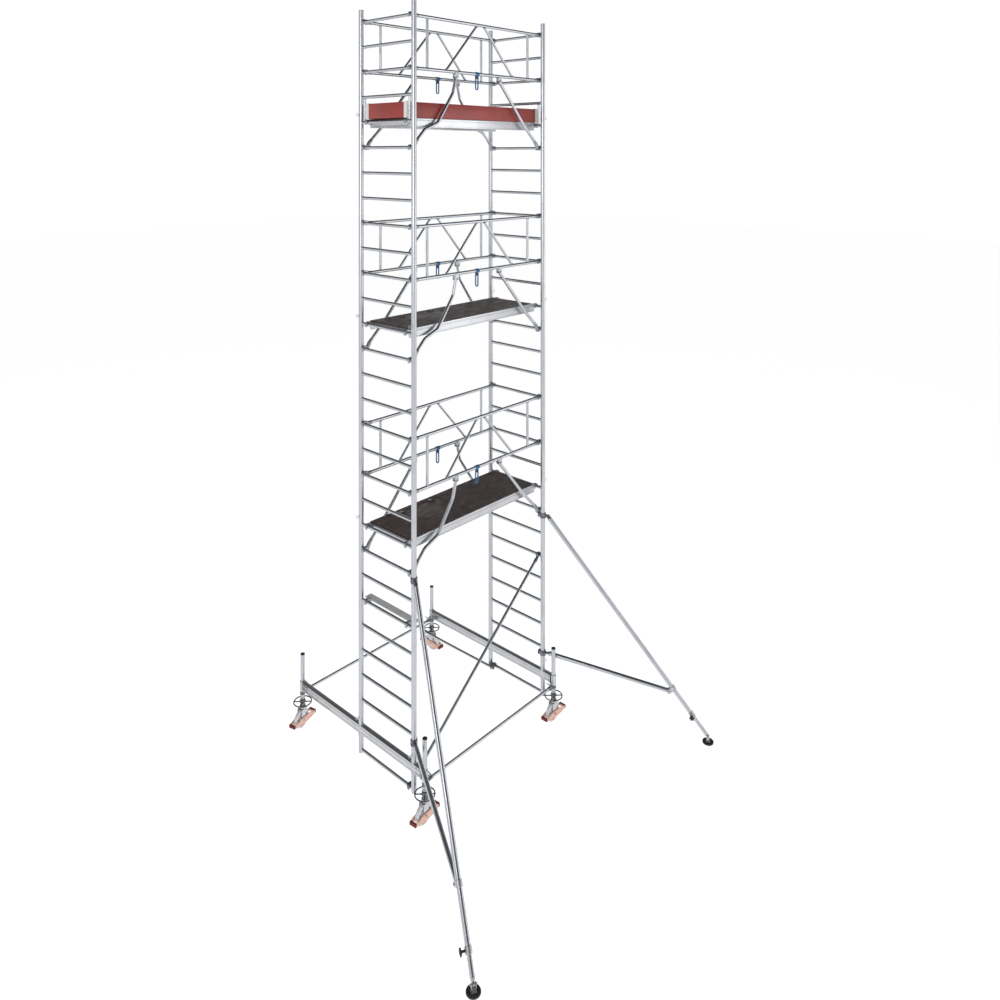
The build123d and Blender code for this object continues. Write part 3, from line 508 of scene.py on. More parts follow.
@dataclass
class Sheet:
    """A material's node sheet, with short calls for the nodes that the finishes share."""

    material: bpy.types.Material

    @classmethod
    def blank(cls, name: str) -> "Sheet":
        """A new material whose sheet is empty."""
        material = bpy.data.materials.new(name)
        material.use_nodes = True
        material.node_tree.nodes.clear()
        return cls(material)

    def node(self, kind: str, **settings: object) -> bpy.types.Node:
        """A new node; settings are its own properties."""
        made = self.material.node_tree.nodes.new(kind)
        for key, value in settings.items():
            setattr(made, key, value)
        return made

    def join(self, start: Socket, end: Socket) -> None:
        """Links one socket to another."""
        self.material.node_tree.links.new(start, end)

    def noise(self, source: Socket, stretch: Triple, detail: float = 3.0) -> Socket:
        """Noise on coordinates that are stretched by three factors, as a value from 0 to 1."""
        mapping = self.node("ShaderNodeMapping")
        mapping.inputs["Scale"].default_value = stretch
        self.join(source, mapping.inputs["Vector"])
        texture = self.node("ShaderNodeTexNoise")
        texture.inputs["Scale"].default_value = 1.0
        texture.inputs["Detail"].default_value = detail
        self.join(mapping.outputs["Vector"], texture.inputs["Vector"])
        return texture.outputs["Fac"]

    def cells(self, source: Socket, scale: float, edges: bool = False) -> Socket:
        """Cell texture: each cell's own grey, or the distance to the nearest cell edge."""
        texture = self.node("ShaderNodeTexVoronoi")
        texture.inputs["Scale"].default_value = scale
        if edges:
            texture.feature = "DISTANCE_TO_EDGE"
        self.join(source, texture.inputs["Vector"])
        if edges:
            return texture.outputs["Distance"]
        grey = self.node("ShaderNodeRGBToBW")
        self.join(texture.outputs["Color"], grey.inputs["Color"])
        return grey.outputs["Val"]

    def span(self, value: Socket, low: float, high: float, start: float = 0.3, end: float = 0.7) -> Socket:
        """A value spread from start..end onto low..high and held there."""
        spread = self.node("ShaderNodeMapRange", clamp=True)
        for key, number in (("From Min", start), ("From Max", end), ("To Min", low), ("To Max", high)):
            spread.inputs[key].default_value = number
        self.join(value, spread.inputs["Value"])
        return spread.outputs["Result"]

    def blend(self, share: Socket, first: object, second: object) -> Socket:
        """Two colours mixed by a share; each is a colour or a socket."""
        mix = self.node("ShaderNodeMix", data_type="RGBA")
        self.join(share, mix.inputs["Factor"])
        for socket, value in ((mix.inputs[6], first), (mix.inputs[7], second)):
            if isinstance(value, Socket):
                self.join(value, socket)
            else:
                socket.default_value = (*value, 1.0)
        return mix.outputs[2]

    def bump(self, height: Socket, strength: float, distance: float, under: Socket | None = None) -> Socket:
        """A bump node's normal, over another bump if there is one."""
        made = self.node("ShaderNodeBump")
        made.inputs["Strength"].default_value = strength
        made.inputs["Distance"].default_value = distance
        self.join(height, made.inputs["Height"])
        if under is not None:
            self.join(under, made.inputs["Normal"])
        return made.outputs["Normal"]

    def shader(
        self, metal: float, colour: Socket, rough: Socket, normal: Socket, **more: float
    ) -> bpy.types.Material:
        """Ends the sheet in one shader; more are constants on its own sockets."""
        surface = self.node("ShaderNodeBsdfPrincipled")
        surface.inputs["Metallic"].default_value = metal
        for key, value in more.items():
            surface.inputs[key.replace("_", " ")].default_value = value
        self.join(colour, surface.inputs["Base Color"])
        self.join(rough, surface.inputs["Roughness"])
        self.join(normal, surface.inputs["Normal"])
        output = self.node("ShaderNodeOutputMaterial")
        self.join(surface.outputs["BSDF"], output.inputs["Surface"])
        return self.material


@dataclass(frozen=True)
class Finish:
    """A named finish; its material is made once."""

    name: str

    def material(self) -> bpy.types.Material:
        """The finish's material."""
        found = bpy.data.materials.get(self.name)
        return found or self.build(Sheet.blank(self.name))

    def build(self, sheet: Sheet) -> bpy.types.Material:
        """Builds the material on an empty sheet."""
        raise NotImplementedError


@dataclass(frozen=True)
class DrawnAluminium(Finish):
    """Drawn or extruded aluminium: die streaks along the length, faint scratches across, grey smudges."""

    light: Triple = (0.58, 0.60, 0.63)
    dark: Triple = (0.41, 0.43, 0.46)
    rough: Pair = (0.20, 0.34)
    metal: float = 1.0

    def build(self, sheet: Sheet) -> bpy.types.Material:
        """Streaks read the grain map, u round and v along; smudges read the object's own place."""
        grain = sheet.node("ShaderNodeUVMap", uv_map="grain").outputs["UV"]
        place = sheet.node("ShaderNodeTexCoord").outputs["Object"]
        streaks = sheet.noise(grain, (900.0, 2.2, 1.0), 4.0)
        scratches = sheet.noise(grain, (60.0, 700.0, 1.0), 2.0)
        smudge = sheet.noise(place, (5.0, 5.0, 5.0), 5.0)
        colour = sheet.blend(sheet.span(streaks, 0.0, 1.0), self.light, self.dark)
        grime = tuple(channel * 0.62 for channel in self.dark)
        colour = sheet.blend(sheet.span(smudge, 0.0, 0.28, 0.5, 0.8), colour, grime)
        both = sheet.node("ShaderNodeMath", operation="ADD")
        sheet.join(sheet.span(streaks, self.rough[0], self.rough[1]), both.inputs[0])
        sheet.join(sheet.span(smudge, 0.0, 0.12, 0.45, 0.8), both.inputs[1])
        normal = sheet.bump(streaks, 0.10, 0.0004)
        normal = sheet.bump(sheet.span(scratches, 0.0, 1.0, 0.62, 0.72), 0.06, 0.0003, normal)
        return sheet.shader(self.metal, colour, both.outputs["Value"], normal)


@dataclass(frozen=True)
class CastMetal(Finish):
    """Cast or plated metal with a grainy skin, dull in the hollows."""

    light: Triple = (0.30, 0.31, 0.33)
    dark: Triple = (0.13, 0.14, 0.15)
    grain: float = 420.0
    metal: float = 1.0
    rough: Pair = (0.34, 0.58)

    def build(self, sheet: Sheet) -> bpy.types.Material:
        """Fine grain makes the bump, coarse noise the colour and the roughness."""
        place = sheet.node("ShaderNodeTexCoord").outputs["Object"]
        fine = sheet.noise(place, (self.grain,) * 3, 2.0)
        coarse = sheet.noise(place, (38.0,) * 3, 5.0)
        colour = sheet.blend(sheet.span(coarse, 0.0, 1.0), self.light, self.dark)
        rough = sheet.span(coarse, self.rough[0], self.rough[1])
        return sheet.shader(self.metal, colour, rough, sheet.bump(fine, 0.22, 0.0008))


@dataclass(frozen=True)
class ZincPlate(Finish):
    """Zinc plated steel: flat crystals of slightly different greys with faint white bloom."""

    def build(self, sheet: Sheet) -> bpy.types.Material:
        """Cells give each crystal its grey; noise gives the bloom and the fine bump."""
        place = sheet.node("ShaderNodeTexCoord").outputs["Object"]
        crystal = sheet.cells(place, 160.0)
        bloom = sheet.noise(place, (24.0,) * 3, 4.0)
        colour = sheet.blend(sheet.span(crystal, 0.0, 1.0, 0.2, 0.8), (0.60, 0.61, 0.63), (0.44, 0.455, 0.48))
        colour = sheet.blend(sheet.span(bloom, 0.0, 0.35, 0.5, 0.75), colour, (0.74, 0.74, 0.74))
        rough = sheet.span(bloom, 0.26, 0.5)
        return sheet.shader(1.0, colour, rough, sheet.bump(crystal, 0.08, 0.0004))


@dataclass(frozen=True)
class FilmFacedBoard(Finish):
    """Film-faced plywood: brown resin film pressed with a wire mesh, scuffed pale where it is trodden."""

    brown: Triple = (0.076, 0.045, 0.035)
    scuff: Triple = (0.125, 0.085, 0.07)
    pitch: float = 0.006

    def build(self, sheet: Sheet) -> bpy.types.Material:
        """The mesh is two sets of sine waves in x and y; scuffs are noise drawn out along the bay."""
        place = sheet.node("ShaderNodeTexCoord").outputs["Object"]
        waves = []
        for direction in ("X", "Y"):
            wave = sheet.node("ShaderNodeTexWave", wave_type="BANDS", bands_direction=direction)
            wave.inputs["Scale"].default_value = math.pi / (10 * self.pitch)
            sheet.join(place, wave.inputs["Vector"])
            waves.append(wave.outputs["Fac"])
        mesh = sheet.node("ShaderNodeMath", operation="MAXIMUM")
        sheet.join(waves[0], mesh.inputs[0])
        sheet.join(waves[1], mesh.inputs[1])
        worn = sheet.noise(place, (9.0, 26.0, 9.0), 7.0)
        mottle = sheet.noise(place, (70.0,) * 3, 3.0)
        colour = sheet.blend(sheet.span(worn, 0.0, 0.35, 0.56, 0.85), self.brown, self.scuff)
        deep = tuple(channel * 0.7 for channel in self.brown)
        colour = sheet.blend(sheet.span(mottle, 0.0, 0.35), colour, deep)
        rough = sheet.span(worn, 0.42, 0.66)
        normal = sheet.bump(mesh.outputs["Value"], 0.35, 0.0006)
        return sheet.shader(0.0, colour, rough, normal)


@dataclass(frozen=True)
class VarnishedBoard(Finish):
    """Coloured varnish over plywood: grain shows through along the board, edges rub paler."""

    tint: Triple = (0.30, 0.028, 0.020)
    deep: Triple = (0.20, 0.018, 0.014)

    def build(self, sheet: Sheet) -> bpy.types.Material:
        """Grain is noise drawn out along the grain map's v; knots are wide soft noise."""
        grain = sheet.node("ShaderNodeUVMap", uv_map="grain").outputs["UV"]
        place = sheet.node("ShaderNodeTexCoord").outputs["Object"]
        lines = sheet.noise(grain, (260.0, 5.0, 1.0), 6.0)
        cloud = sheet.noise(place, (4.0, 4.0, 9.0), 4.0)
        colour = sheet.blend(sheet.span(lines, 0.0, 0.7), self.tint, self.deep)
        rubbed = tuple(min(1.0, channel * 1.5) for channel in self.tint)
        colour = sheet.blend(sheet.span(cloud, 0.0, 0.35), colour, rubbed)
        rough = sheet.span(lines, 0.34, 0.5)
        return sheet.shader(0.0, colour, rough, sheet.bump(lines, 0.16, 0.0006), Coat_Weight=0.15)


@dataclass(frozen=True)
class MouldedPlastic(Finish):
    """Moulded plastic or rubber: spark-eroded grain, slight colour drift and dust in the low places; on the
    brake paint the pale second colour is a painted highlight.
    """

    tint: Triple = (0.03, 0.03, 0.034)
    dust_and_sheen: Triple = (0.14, 0.135, 0.13)
    dust_and_sheen_share: float = 0.35
    rough: Pair = (0.38, 0.56)
    grain: float = 700.0

    def build(self, sheet: Sheet) -> bpy.types.Material:
        """Fine noise makes the moulded grain; wide noise lays the dust and the wear, and on the brake paint a
        painted highlight.
        """
        place = sheet.node("ShaderNodeTexCoord").outputs["Object"]
        fine = sheet.noise(place, (self.grain,) * 3, 1.0)
        wide = sheet.noise(place, (30.0,) * 3, 6.0)
        colour = sheet.blend(sheet.span(wide, 0.0, self.dust_and_sheen_share, 0.45, 0.75), self.tint, self.dust_and_sheen)
        rough = sheet.span(wide, self.rough[0], self.rough[1])
        return sheet.shader(0.0, colour, rough, sheet.bump(fine, 0.18, 0.0004))


TUBE = DrawnAluminium("drawn_aluminium_tube")
PROFILE = DrawnAluminium("extruded_aluminium_profile", light=(0.60, 0.61, 0.63), dark=(0.46, 0.47, 0.49))
# The tread's near-white colour is painted light: it is raised to stand in for the light that falls on the
# tread's top.
TREAD = DrawnAluminium(
    "anodised_tread", light=(0.92, 0.93, 0.94), dark=(0.76, 0.77, 0.78), rough=(0.42, 0.58), metal=0.05
)
WELD = CastMetal(
    "aluminium_weld", light=(0.60, 0.61, 0.62), dark=(0.36, 0.37, 0.39), grain=300.0, rough=(0.3, 0.5)
)
CAST = CastMetal("dark_cast_coupler", light=(0.24, 0.25, 0.27), dark=(0.10, 0.11, 0.12))
PALE_CAST = CastMetal(
    "pale_cast_aluminium", light=(0.60, 0.61, 0.63), dark=(0.38, 0.39, 0.41), metal=0.9, rough=(0.3, 0.5)
)
WHEEL_IRON = CastMetal(
    "hand_wheel_iron", light=(0.20, 0.21, 0.23), dark=(0.09, 0.095, 0.105), grain=500.0, rough=(0.32, 0.5)
)
CLAW = CastMetal(
    "cast_aluminium_claw", light=(0.46, 0.47, 0.49), dark=(0.24, 0.25, 0.27), grain=380.0, rough=(0.34, 0.52)
)
ZINC = ZincPlate("zinc_plated_steel")
DECK = FilmFacedBoard("film_faced_deck")
TOE = VarnishedBoard("red_toe_board")
WHITE = MouldedPlastic(
    "white_moulding", tint=(0.74, 0.74, 0.74), dust_and_sheen=(0.50, 0.50, 0.48), dust_and_sheen_share=0.4, rough=(0.32, 0.5)
)
BLACK = MouldedPlastic("black_moulding", tint=(0.010, 0.010, 0.012), dust_and_sheen=(0.05, 0.05, 0.05), dust_and_sheen_share=0.3)
BLUE = MouldedPlastic("blue_moulding", tint=(0.020, 0.15, 0.34), dust_and_sheen=(0.03, 0.06, 0.10), rough=(0.3, 0.48))
TYRE = MouldedPlastic(
    "off_white_tyre", tint=(0.84, 0.85, 0.87), dust_and_sheen=(0.58, 0.57, 0.56), dust_and_sheen_share=0.4, rough=(0.36, 0.6)
)
# The pale second colour, blended in at up to three quarters over wide patches, is a painted highlight on the
# brake cheeks.
SALMON = MouldedPlastic(
    "salmon_brake_paint",
    tint=(0.80, 0.46, 0.35),
    dust_and_sheen=(0.88, 0.72, 0.64),
    dust_and_sheen_share=0.75,
    rough=(0.34, 0.5),
    grain=520.0,
)
MAROON = MouldedPlastic(
    "maroon_brake_pad",
    tint=(0.17, 0.008, 0.007),
    dust_and_sheen=(0.16, 0.03, 0.025),
    dust_and_sheen_share=0.3,
    rough=(0.45, 0.65),
    grain=420.0,
)
RUBBER = MouldedPlastic(
    "black_rubber_foot",
    tint=(0.022, 0.022, 0.024),
    dust_and_sheen=(0.16, 0.155, 0.15),
    dust_and_sheen_share=0.4,
    rough=(0.55, 0.8),
    grain=520.0,
)


# ---------------------------------------------------------------- the tower's lines


@dataclass(frozen=True)
class Layout:
    """The tower's own lines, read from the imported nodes."""

    half_bay: float
    front: float
    rear: float
    first_rung: float
    post: float = 0.0255
    pitch: float = 0.25

    @classmethod
    def read(cls) -> "Layout":
        """Post axes lie one radius inside the lowest frames' box; its foot is half a pitch under rung 2."""
        low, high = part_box("frames_1m")
        first_rung = low.z + cls.pitch / 2 - 2 * cls.pitch
        return cls(high.x - cls.post, low.y + cls.post, high.y - cls.post, first_rung)

    @property
    def middle(self) -> float:
        """Y of the bay's middle."""
        return (self.front + self.rear) / 2

    @property
    def corners(self) -> list[Pair]:
        """X and y of the four post axes."""
        return [(x, y) for x in (-self.half_bay, self.half_bay) for y in (self.front, self.rear)]

    def rung(self, number: int) -> float:
        """Height of a rung; 0 is the lowest."""
        return self.first_rung + self.pitch * number


LINES = Layout.read()
LEVELS = {"top": 25, "middle": 17, "lower": 9}


def joint(name: str) -> dict:
    """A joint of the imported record."""
    return next(entry for entry in frame["joints"] if entry["name"] == name)


# ---------------------------------------------------------------- ladder frames


@dataclass
class LadderFrames:
    """Posts, rungs and welds of every lift of ladder frames."""

    rung_radius: float = 0.016
    wall: float = 0.002
    rungs_in_all: int = 30
    lifts: dict[str, tuple[int, int]] = field(
        default_factory=lambda: {
            "frames_1m": (2, 4),
            "frames_2m_lower": (6, 8),
            "frames_2m_middle": (14, 8),
            "frames_2m_upper": (22, 8),
        }
    )

    def posts(self, low: float, high: float) -> list[Surface]:
        """The four posts between two heights."""
        return [tube(((x, y, low), (x, y, high)), LINES.post, self.wall, sides=36) for x, y in LINES.corners]

    def steps(self, count: int) -> Array:
        """Shifts by whole pitches, from none upwards."""
        return np.arange(count)[:, None] * np.array((0.0, 0.0, LINES.pitch))

    def rungs(self, first: int, count: int) -> list[Surface]:
        """The rungs of both sides from a first number upwards."""
        made = []
        z = LINES.rung(first)
        for x in (-LINES.half_bay, LINES.half_bay):
            rung = saddle_rung(x, LINES.front, LINES.rear, z, self.rung_radius, LINES.post, self.wall)
            made.append(copies(rung, self.steps(count)))
        return made

    def welds(self, first: int, count: int) -> list[Surface]:
        """Beads at both ends of those rungs."""
        made = []
        for x, y in LINES.corners:
            sign = 1.0 if y == LINES.front else -1.0
            bead = saddle_weld(x, y, LINES.rung(first), sign, self.rung_radius, LINES.post)
            made.append(copies(bead, self.steps(count)))
        return made

    def build(self) -> None:
        """One piece of tube for each lift, and one of welds for all."""
        beads = self.welds(0, self.rungs_in_all)
        for node, (first, count) in self.lifts.items():
            low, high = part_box(node)
            tubes = joined(self.posts(low.z, high.z) + self.rungs(first, count))
            piece = sheet_object(f"{node}_tubes", tubes, "tower", TUBE)
            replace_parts(piece, node)
        sheet_object("frame_welds", joined(beads), "tower", WELD)


# ---------------------------------------------------------------- chassis


def grooved_box(
    width: float, height: float, corner: float, grooves: tuple[float, ...], depth: float = 0.0018
) -> Array:
    """Outline of a rounded box with shallow grooves in both upright faces at the given heights."""
    box = rounded_box(width, height, corner, 5)
    half = width / 2
    right: list[Pair] = []
    for level in sorted(grooves):
        right += [(half, level - 0.0035), (half - depth, level - 0.002)]
        right += [(half - depth, level + 0.002), (half, level + 0.0035)]
    side = np.array(right)
    left = side[::-1] * np.array((-1.0, 1.0))
    return np.concatenate([side, box[:10], left, box[10:]])


def across_y(outline: Array) -> Array:
    """An outline given in x and z, counter-clockwise, made ready for a path along +y."""
    return outline[::-1] * np.array((1.0, -1.0))


@dataclass
class Chassis:
    """Box beams with the short posts through them, and the castor tubes."""

    width: float = 0.05
    height: float = 0.085
    top: float = 0.49
    bracket: float = 0.062
    tube_radius: float = 0.0225

    def build(self) -> None:
        """Beams, posts, the lowest rungs, the beads between them and the castor tubes."""
        low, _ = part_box("chassis_beams")
        first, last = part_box("castor_brackets")
        near, far = first.y + self.bracket, last.y - self.bracket
        middle = self.top - self.height / 2
        ladder = LadderFrames()
        profiles, beads = [], []
        outline = grooved_box(self.width, self.height, 0.005, (-0.02, 0.02))
        for sign in (-1, 1):
            x = sign * LINES.half_bay
            profiles.append(swept(np.array(((x, near, middle), (x, far, middle))), outline, ALONG))
            for y in (LINES.front, LINES.rear):
                for z in (self.top, self.top - self.height):
                    beads.append(weld((x, y, z), UP, LINES.post, 0.0034))
        piece = sheet_object("chassis_beam_profiles", joined(profiles), "tower", PROFILE)
        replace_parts(piece, "chassis_beams")
        posts = ladder.posts(low.z, LINES.rung(2) - LINES.pitch / 2) + ladder.rungs(0, 1)
        sheet_object("chassis_posts", joined(posts), "tower", TUBE)
        sheet_object("chassis_welds", joined(beads), "tower", WELD)
        self.castor_tubes()

    def castor_tubes(self) -> None:
        """The four upright tubes over the castors."""
        low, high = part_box("spindle_tubes")
        made = []
        for x in (-LINES.half_bay, LINES.half_bay):
            for y in (low.y + self.tube_radius, high.y - self.tube_radius):
                made.append(tube(((x, y, low.z), (x, y, high.z)), self.tube_radius, 0.003, sides=32))
        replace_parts(sheet_object("castor_tubes", joined(made), "tower", TUBE), "spindle_tubes")


@dataclass
class BaseBraces:
    """Level tubes, the front diagonal and the low stay, with the collars and hooks they end in."""

    level: float = 0.380
    radius: float = 0.015
    diagonal_radius: float = 0.016
    stay_level: float = 0.236
    diagonal_inset: float = 0.057

    def build(self) -> None:
        """Tubes in one piece and their cast ends in another."""
        half = LINES.half_bay
        near = joint("castor_front_left_swivel")["pos_m"][1]
        far = joint("castor_rear_left_swivel")["pos_m"][1]
        tubes, ends = [], []
        for y in (near, far):
            reach = half - 0.0385
            tubes.append(member((-reach, y, self.level), (reach, y, self.level), self.radius, 0.002))
            for sign in (-1, 1):
                collar = np.array(((0.0270, -0.028), (0.0285, -0.0265), (0.0285, 0.0065), (0.0270, 0.008)))
                collar = np.concatenate([collar, [(0.0226, 0.008), (0.0226, -0.028)]])
                seat = Place.on((sign * half, y, self.level), UP, ALONG)
                ends.append(turned(collar, seat, 32, hollow=True))
                lug = np.array([(sign * (half - back), y, self.level - 0.006) for back in (0.026, 0.041)])
                ends.append(swept(lug, rounded_box(0.024, 0.030, 0.005), ACROSS, 0.0015))
                sleeve = ((sign * (half - 0.040), y, self.level), (sign * (half - 0.085), y, self.level))
                ends.append(tube(sleeve, self.radius + 0.0022, 0.0021))
        y = LINES.front + self.diagonal_inset
        low = np.array((-half, y, LINES.rung(0)))
        high = np.array((half, y, LINES.rung(6)))
        way = (high - low) / np.linalg.norm(high - low)
        tubes.append(member(low + way * 0.052, high - way * 0.052, self.diagonal_radius, 0.002))
        for point, sign, run in ((low, -1, way), (high, 1, -way)):
            ends.append(hook(point, sign, 0.032, 0.034))
            ends.append(rod(point + run * 0.028, point + run * 0.058, 0.0142))
            sleeve = (point + run * 0.053, point + run * 0.088)
            ends.append(tube(sleeve, self.diagonal_radius + 0.002, 0.0019))
        start = (half - 0.046, LINES.rear - 0.09, self.stay_level)
        end = (half - 0.076, LINES.rear + 1.05, self.stay_level)
        tubes.append(member(start, end, self.radius, 0.002))
        rung = np.array((half, start[1] + 0.03, LINES.rung(0)))
        ends.append(hook(rung, 1, 0.030, 0.062))
        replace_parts(sheet_object("base_brace_tubes", joined(tubes), "tower", TUBE), "base_braces")
        piece = sheet_object("base_brace_ends", joined(ends), "tower", CAST)
        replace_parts(piece, "brace_fittings")


@dataclass
class StepBoard:
    """Ribbed step board on rung 6 of the left frame, with its two hooks."""

    ribs: int = 9
    rib: float = 0.0016

    def outline(self) -> Array:
        """Side view in x and z: a ribbed tread, a hanging lip at its inner edge and a flat underside."""
        count = self.ribs * 4
        x = np.linspace(0.1, 0.024, count)
        z = 0.024 + self.rib * (np.arange(count) % 4 < 2)
        tread = np.column_stack([x, z])
        under = np.array(((0.024, 0.016), (0.096, 0.016), (0.096, -0.008), (0.1, -0.008)))
        return np.concatenate([tread, under])

    def build(self) -> None:
        """The board and its hooks."""
        x, z = -LINES.half_bay, LINES.rung(6)
        low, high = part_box("step_board")
        path = np.array(((x, low.y, z), (x, high.y, z)))
        board = swept(path, across_y(self.outline()), ALONG)
        piece = sheet_object("step_board_tread", board, "tower", TREAD)
        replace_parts(piece, "step_board")
        reach = (LINES.rear - LINES.front) / 2 - 0.09
        hooks = [hook((x, LINES.middle + end * reach, z), -1, 0.03, 0.05) for end in (-1, 1)]
        sheet_object("step_board_hooks", joined(hooks), "tower", CLAW)


@dataclass
class SpringClips:
    """Spring clips in the frame joints: a pin with a domed head and a wire ring through it."""

    ring: float = 0.014
    wire: float = 0.0022

    def clip(self, x: float, y: float, z: float, sign: float) -> list[Surface]:
        """One clip on the outer wall of a post."""
        wall = x + sign * LINES.post
        pin = Place.on((wall - sign * 0.004, y, z), (sign, 0, 0), UP)
        profile = np.array(((0.004, 0.0), (0.004, 0.0145), (0.0062, 0.015), (0.0058, 0.018), (0.003, 0.0195)))
        ring = Place.on((wall + sign * 0.026, y, z + 0.004), ACROSS, UP)
        return [turned(profile, pin, 16), doughnut(ring, self.ring, self.wire, 28, 8)]

    def build(self) -> None:
        """All sixteen clips."""
        made = []
        for first in (2, 10, 18, 26):
            z = LINES.rung(first) - LINES.pitch / 2 - 0.05
            for sign in (-1, 1):
                for y in (LINES.front, LINES.rear):
                    made += self.clip(sign * LINES.half_bay, y, z, sign)
        piece = sheet_object("frame_spring_clips", joined(made), "tower", ZINC)
        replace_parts(piece, "frame_connectors")


# ---------------------------------------------------------------- guardrails


@dataclass
class Guardrail:
    """The two guardrails of one platform; the far one is the near one turned half round."""

    level: str
    rail: float = 0.0165
    upright: float = 0.014
    brace: float = 0.0125
    inset: float = 0.045
    upright_reach: float = 0.74
    diagonal_foot: float = 0.495
    diagonal_head: float = 0.045
    leg_inset: float = 0.003

    def __post_init__(self) -> None:
        """Works out the guardrail's own lines."""
        self.y = LINES.front + self.inset
        self.lower = LINES.rung(LEVELS[self.level] + 2)
        self.upper = LINES.rung(LEVELS[self.level] + 4)
        self.foot = LINES.rung(LEVELS[self.level] - 1)

    def legs(self) -> list[Array]:
        """Corner points of the left and right legs."""
        left = ((-0.352, -0.552), (-0.392, -0.710), (-0.600, -1.010), (-0.770, -1.078), (-0.893, -1.204))
        right = ((0.288, -0.552), (0.69, -1.01), (0.893, -1.204))
        y = self.y + self.leg_inset
        return [np.array([(x, y, self.upper + z) for x, z in route]) for route in (left, right)]

    def diagonals(self) -> list[tuple[Array, Array, Array]]:
        """Foot, head and direction of the two diagonals."""
        lines = []
        for end in (-1, 1):
            foot = np.array((end * self.diagonal_foot, self.y, self.lower))
            head = np.array((end * self.diagonal_head, self.y, self.upper))
            lines.append((foot, head, (head - foot) / np.linalg.norm(head - foot)))
        return lines

    def tubes(self) -> list[Surface]:
        """Rails, uprights, diagonals and legs of the near guardrail."""
        reach, y = LINES.half_bay - 0.033, self.y
        made = [member((-reach, y, z), (reach, y, z), self.rail, 0.002) for z in (self.lower, self.upper)]
        for x in (-self.upright_reach, self.upright_reach):
            made.append(member((x, y, self.lower + 0.013), (x, y, self.upper - 0.013), self.upright))
        for foot, head, way in self.diagonals():
            made.append(member(foot + way * 0.018, head - way * 0.018, self.brace))
        for route in self.legs():
            made.append(tube(rounded_route(route, 0.07), self.rail - 0.0005, 0.002, ACROSS))
        return made

    def welds(self) -> list[Surface]:
        """Beads at the feet and heads of the uprights and diagonals."""
        made = []
        for x in (-self.upright_reach, self.upright_reach):
            for z, way in ((self.lower + self.rail, 1), (self.upper - self.rail, -1)):
                made.append(weld((x, self.y, z - way * 0.001), (0, 0, way), self.upright, 0.0026))
        for foot, head, way in self.diagonals():
            made.append(weld(foot + way * 0.0215, way, self.brace + 0.0015, 0.0028))
            made.append(weld(head - way * 0.0215, -way, self.brace + 0.0015, 0.0028))
        return made

    def claws(self) -> list[Surface]:
        """Cast hooks on the rail ends and the leg feet, with sleeves and rivets."""
        made = []
        leg_y = self.y + self.leg_inset
        for sign in (-1, 1):
            x = sign * LINES.half_bay
            for z in (self.lower, self.upper):
                made.append(hook((x, self.y, z), sign, 0.03, 0.044))
                sleeve = ((x - sign * 0.036, self.y, z), (x - sign * 0.088, self.y, z))
                made.append(tube(sleeve, self.rail + 0.0022, 0.0021))
                made += self.rivets(x, self.y, z, sign)
        for route, sign in zip(self.legs(), (-1, 1)):
            x = sign * LINES.half_bay
            way = (route[-2] - route[-1]) / np.linalg.norm(route[-2] - route[-1])
            made.append(hook((x, leg_y, self.foot), sign, 0.032, 0.052))
            made.append(tube((route[-1] - way * 0.004, route[-1] + way * 0.050), self.rail + 0.0016, 0.002))
            neck = np.array(((x - sign * 0.040, leg_y, self.foot + 0.006), route[-1] + way * 0.012))
            made.append(swept(neck, rounded_box(0.036, 0.032, 0.008), ACROSS))
            made += self.rivets(x, leg_y, self.foot, sign)
        return made

    def rivets(self, x: float, y: float, z: float, sign: float) -> list[Surface]:
        """The two heads of the rivet through a claw over the rung at x, y and z."""
        dome = np.array(((0.006, 0.0), (0.006, 0.0015), (0.0045, 0.0032), (0.002, 0.004)))
        made = []
        for face in (-1, 1):
            seat = Place.on((x - sign * 0.026, y + face * 0.0145, z + 0.004), (0, face, 0), UP)
            made.append(turned(dome, seat, 14))
        return made

    def brackets(self) -> list[Surface]:
        """Pivot brackets under the lower rail: two rounded plates, a spacer and hexagon bolts."""
        made = []
        for route in self.legs():
            x, y, z = route[0]
            for side in (-1, 1):
                seat = Place.on((x, y + side * 0.0195, self.lower - 0.028), (0, side, 0), ALONG)
                made.append(plate(rounded_box(0.046, 0.068, 0.012, 6), 0.005, seat, 0.001))
                head = Place.on((x, y + side * 0.025, z + 0.004), (0, side, 0), ALONG)
                made.append(plate(circle(0.0105, 20), 0.002, head, 0.0003))
                bolt = Place.on((x, y + side * 0.0285, z + 0.004), (0, side, 0), ALONG)
                made.append(plate(hexagon(0.015), 0.006, bolt, 0.0008))
        return made

    def grip(self) -> tuple[list[Surface], list[Surface]]:
        """The loop grip under the lower rail: a collar and a long loop, and a black block between them that
        is painted shade inside the top of the loop.
        """
        x, half = -0.055, 0.017
        top, bottom = self.lower - 0.016, self.lower - 0.1575
        corners = ((-half, top), (-half, bottom), (half, bottom), (half, top))
        loop = np.array([(x + side, self.y, z) for side, z in corners])
        route = rounded_route(loop, half - 0.0005, 10)
        blue = [swept(route, rounded_box(0.014, 0.011, 0.004), ACROSS)]
        collar = ((x - 0.024, self.y, self.lower), (x + 0.024, self.y, self.lower))
        blue.append(tube(collar, self.rail + 0.005, 0.0048))
        # Black block in the top of the loop: painted shade under the collar.
        shade_block = Place.on((x, self.y, self.lower - 0.034), ACROSS, ALONG)
        return blue, [plate(rounded_box(0.030, 0.034, 0.006, 5), 0.018, shade_block, 0.002)]

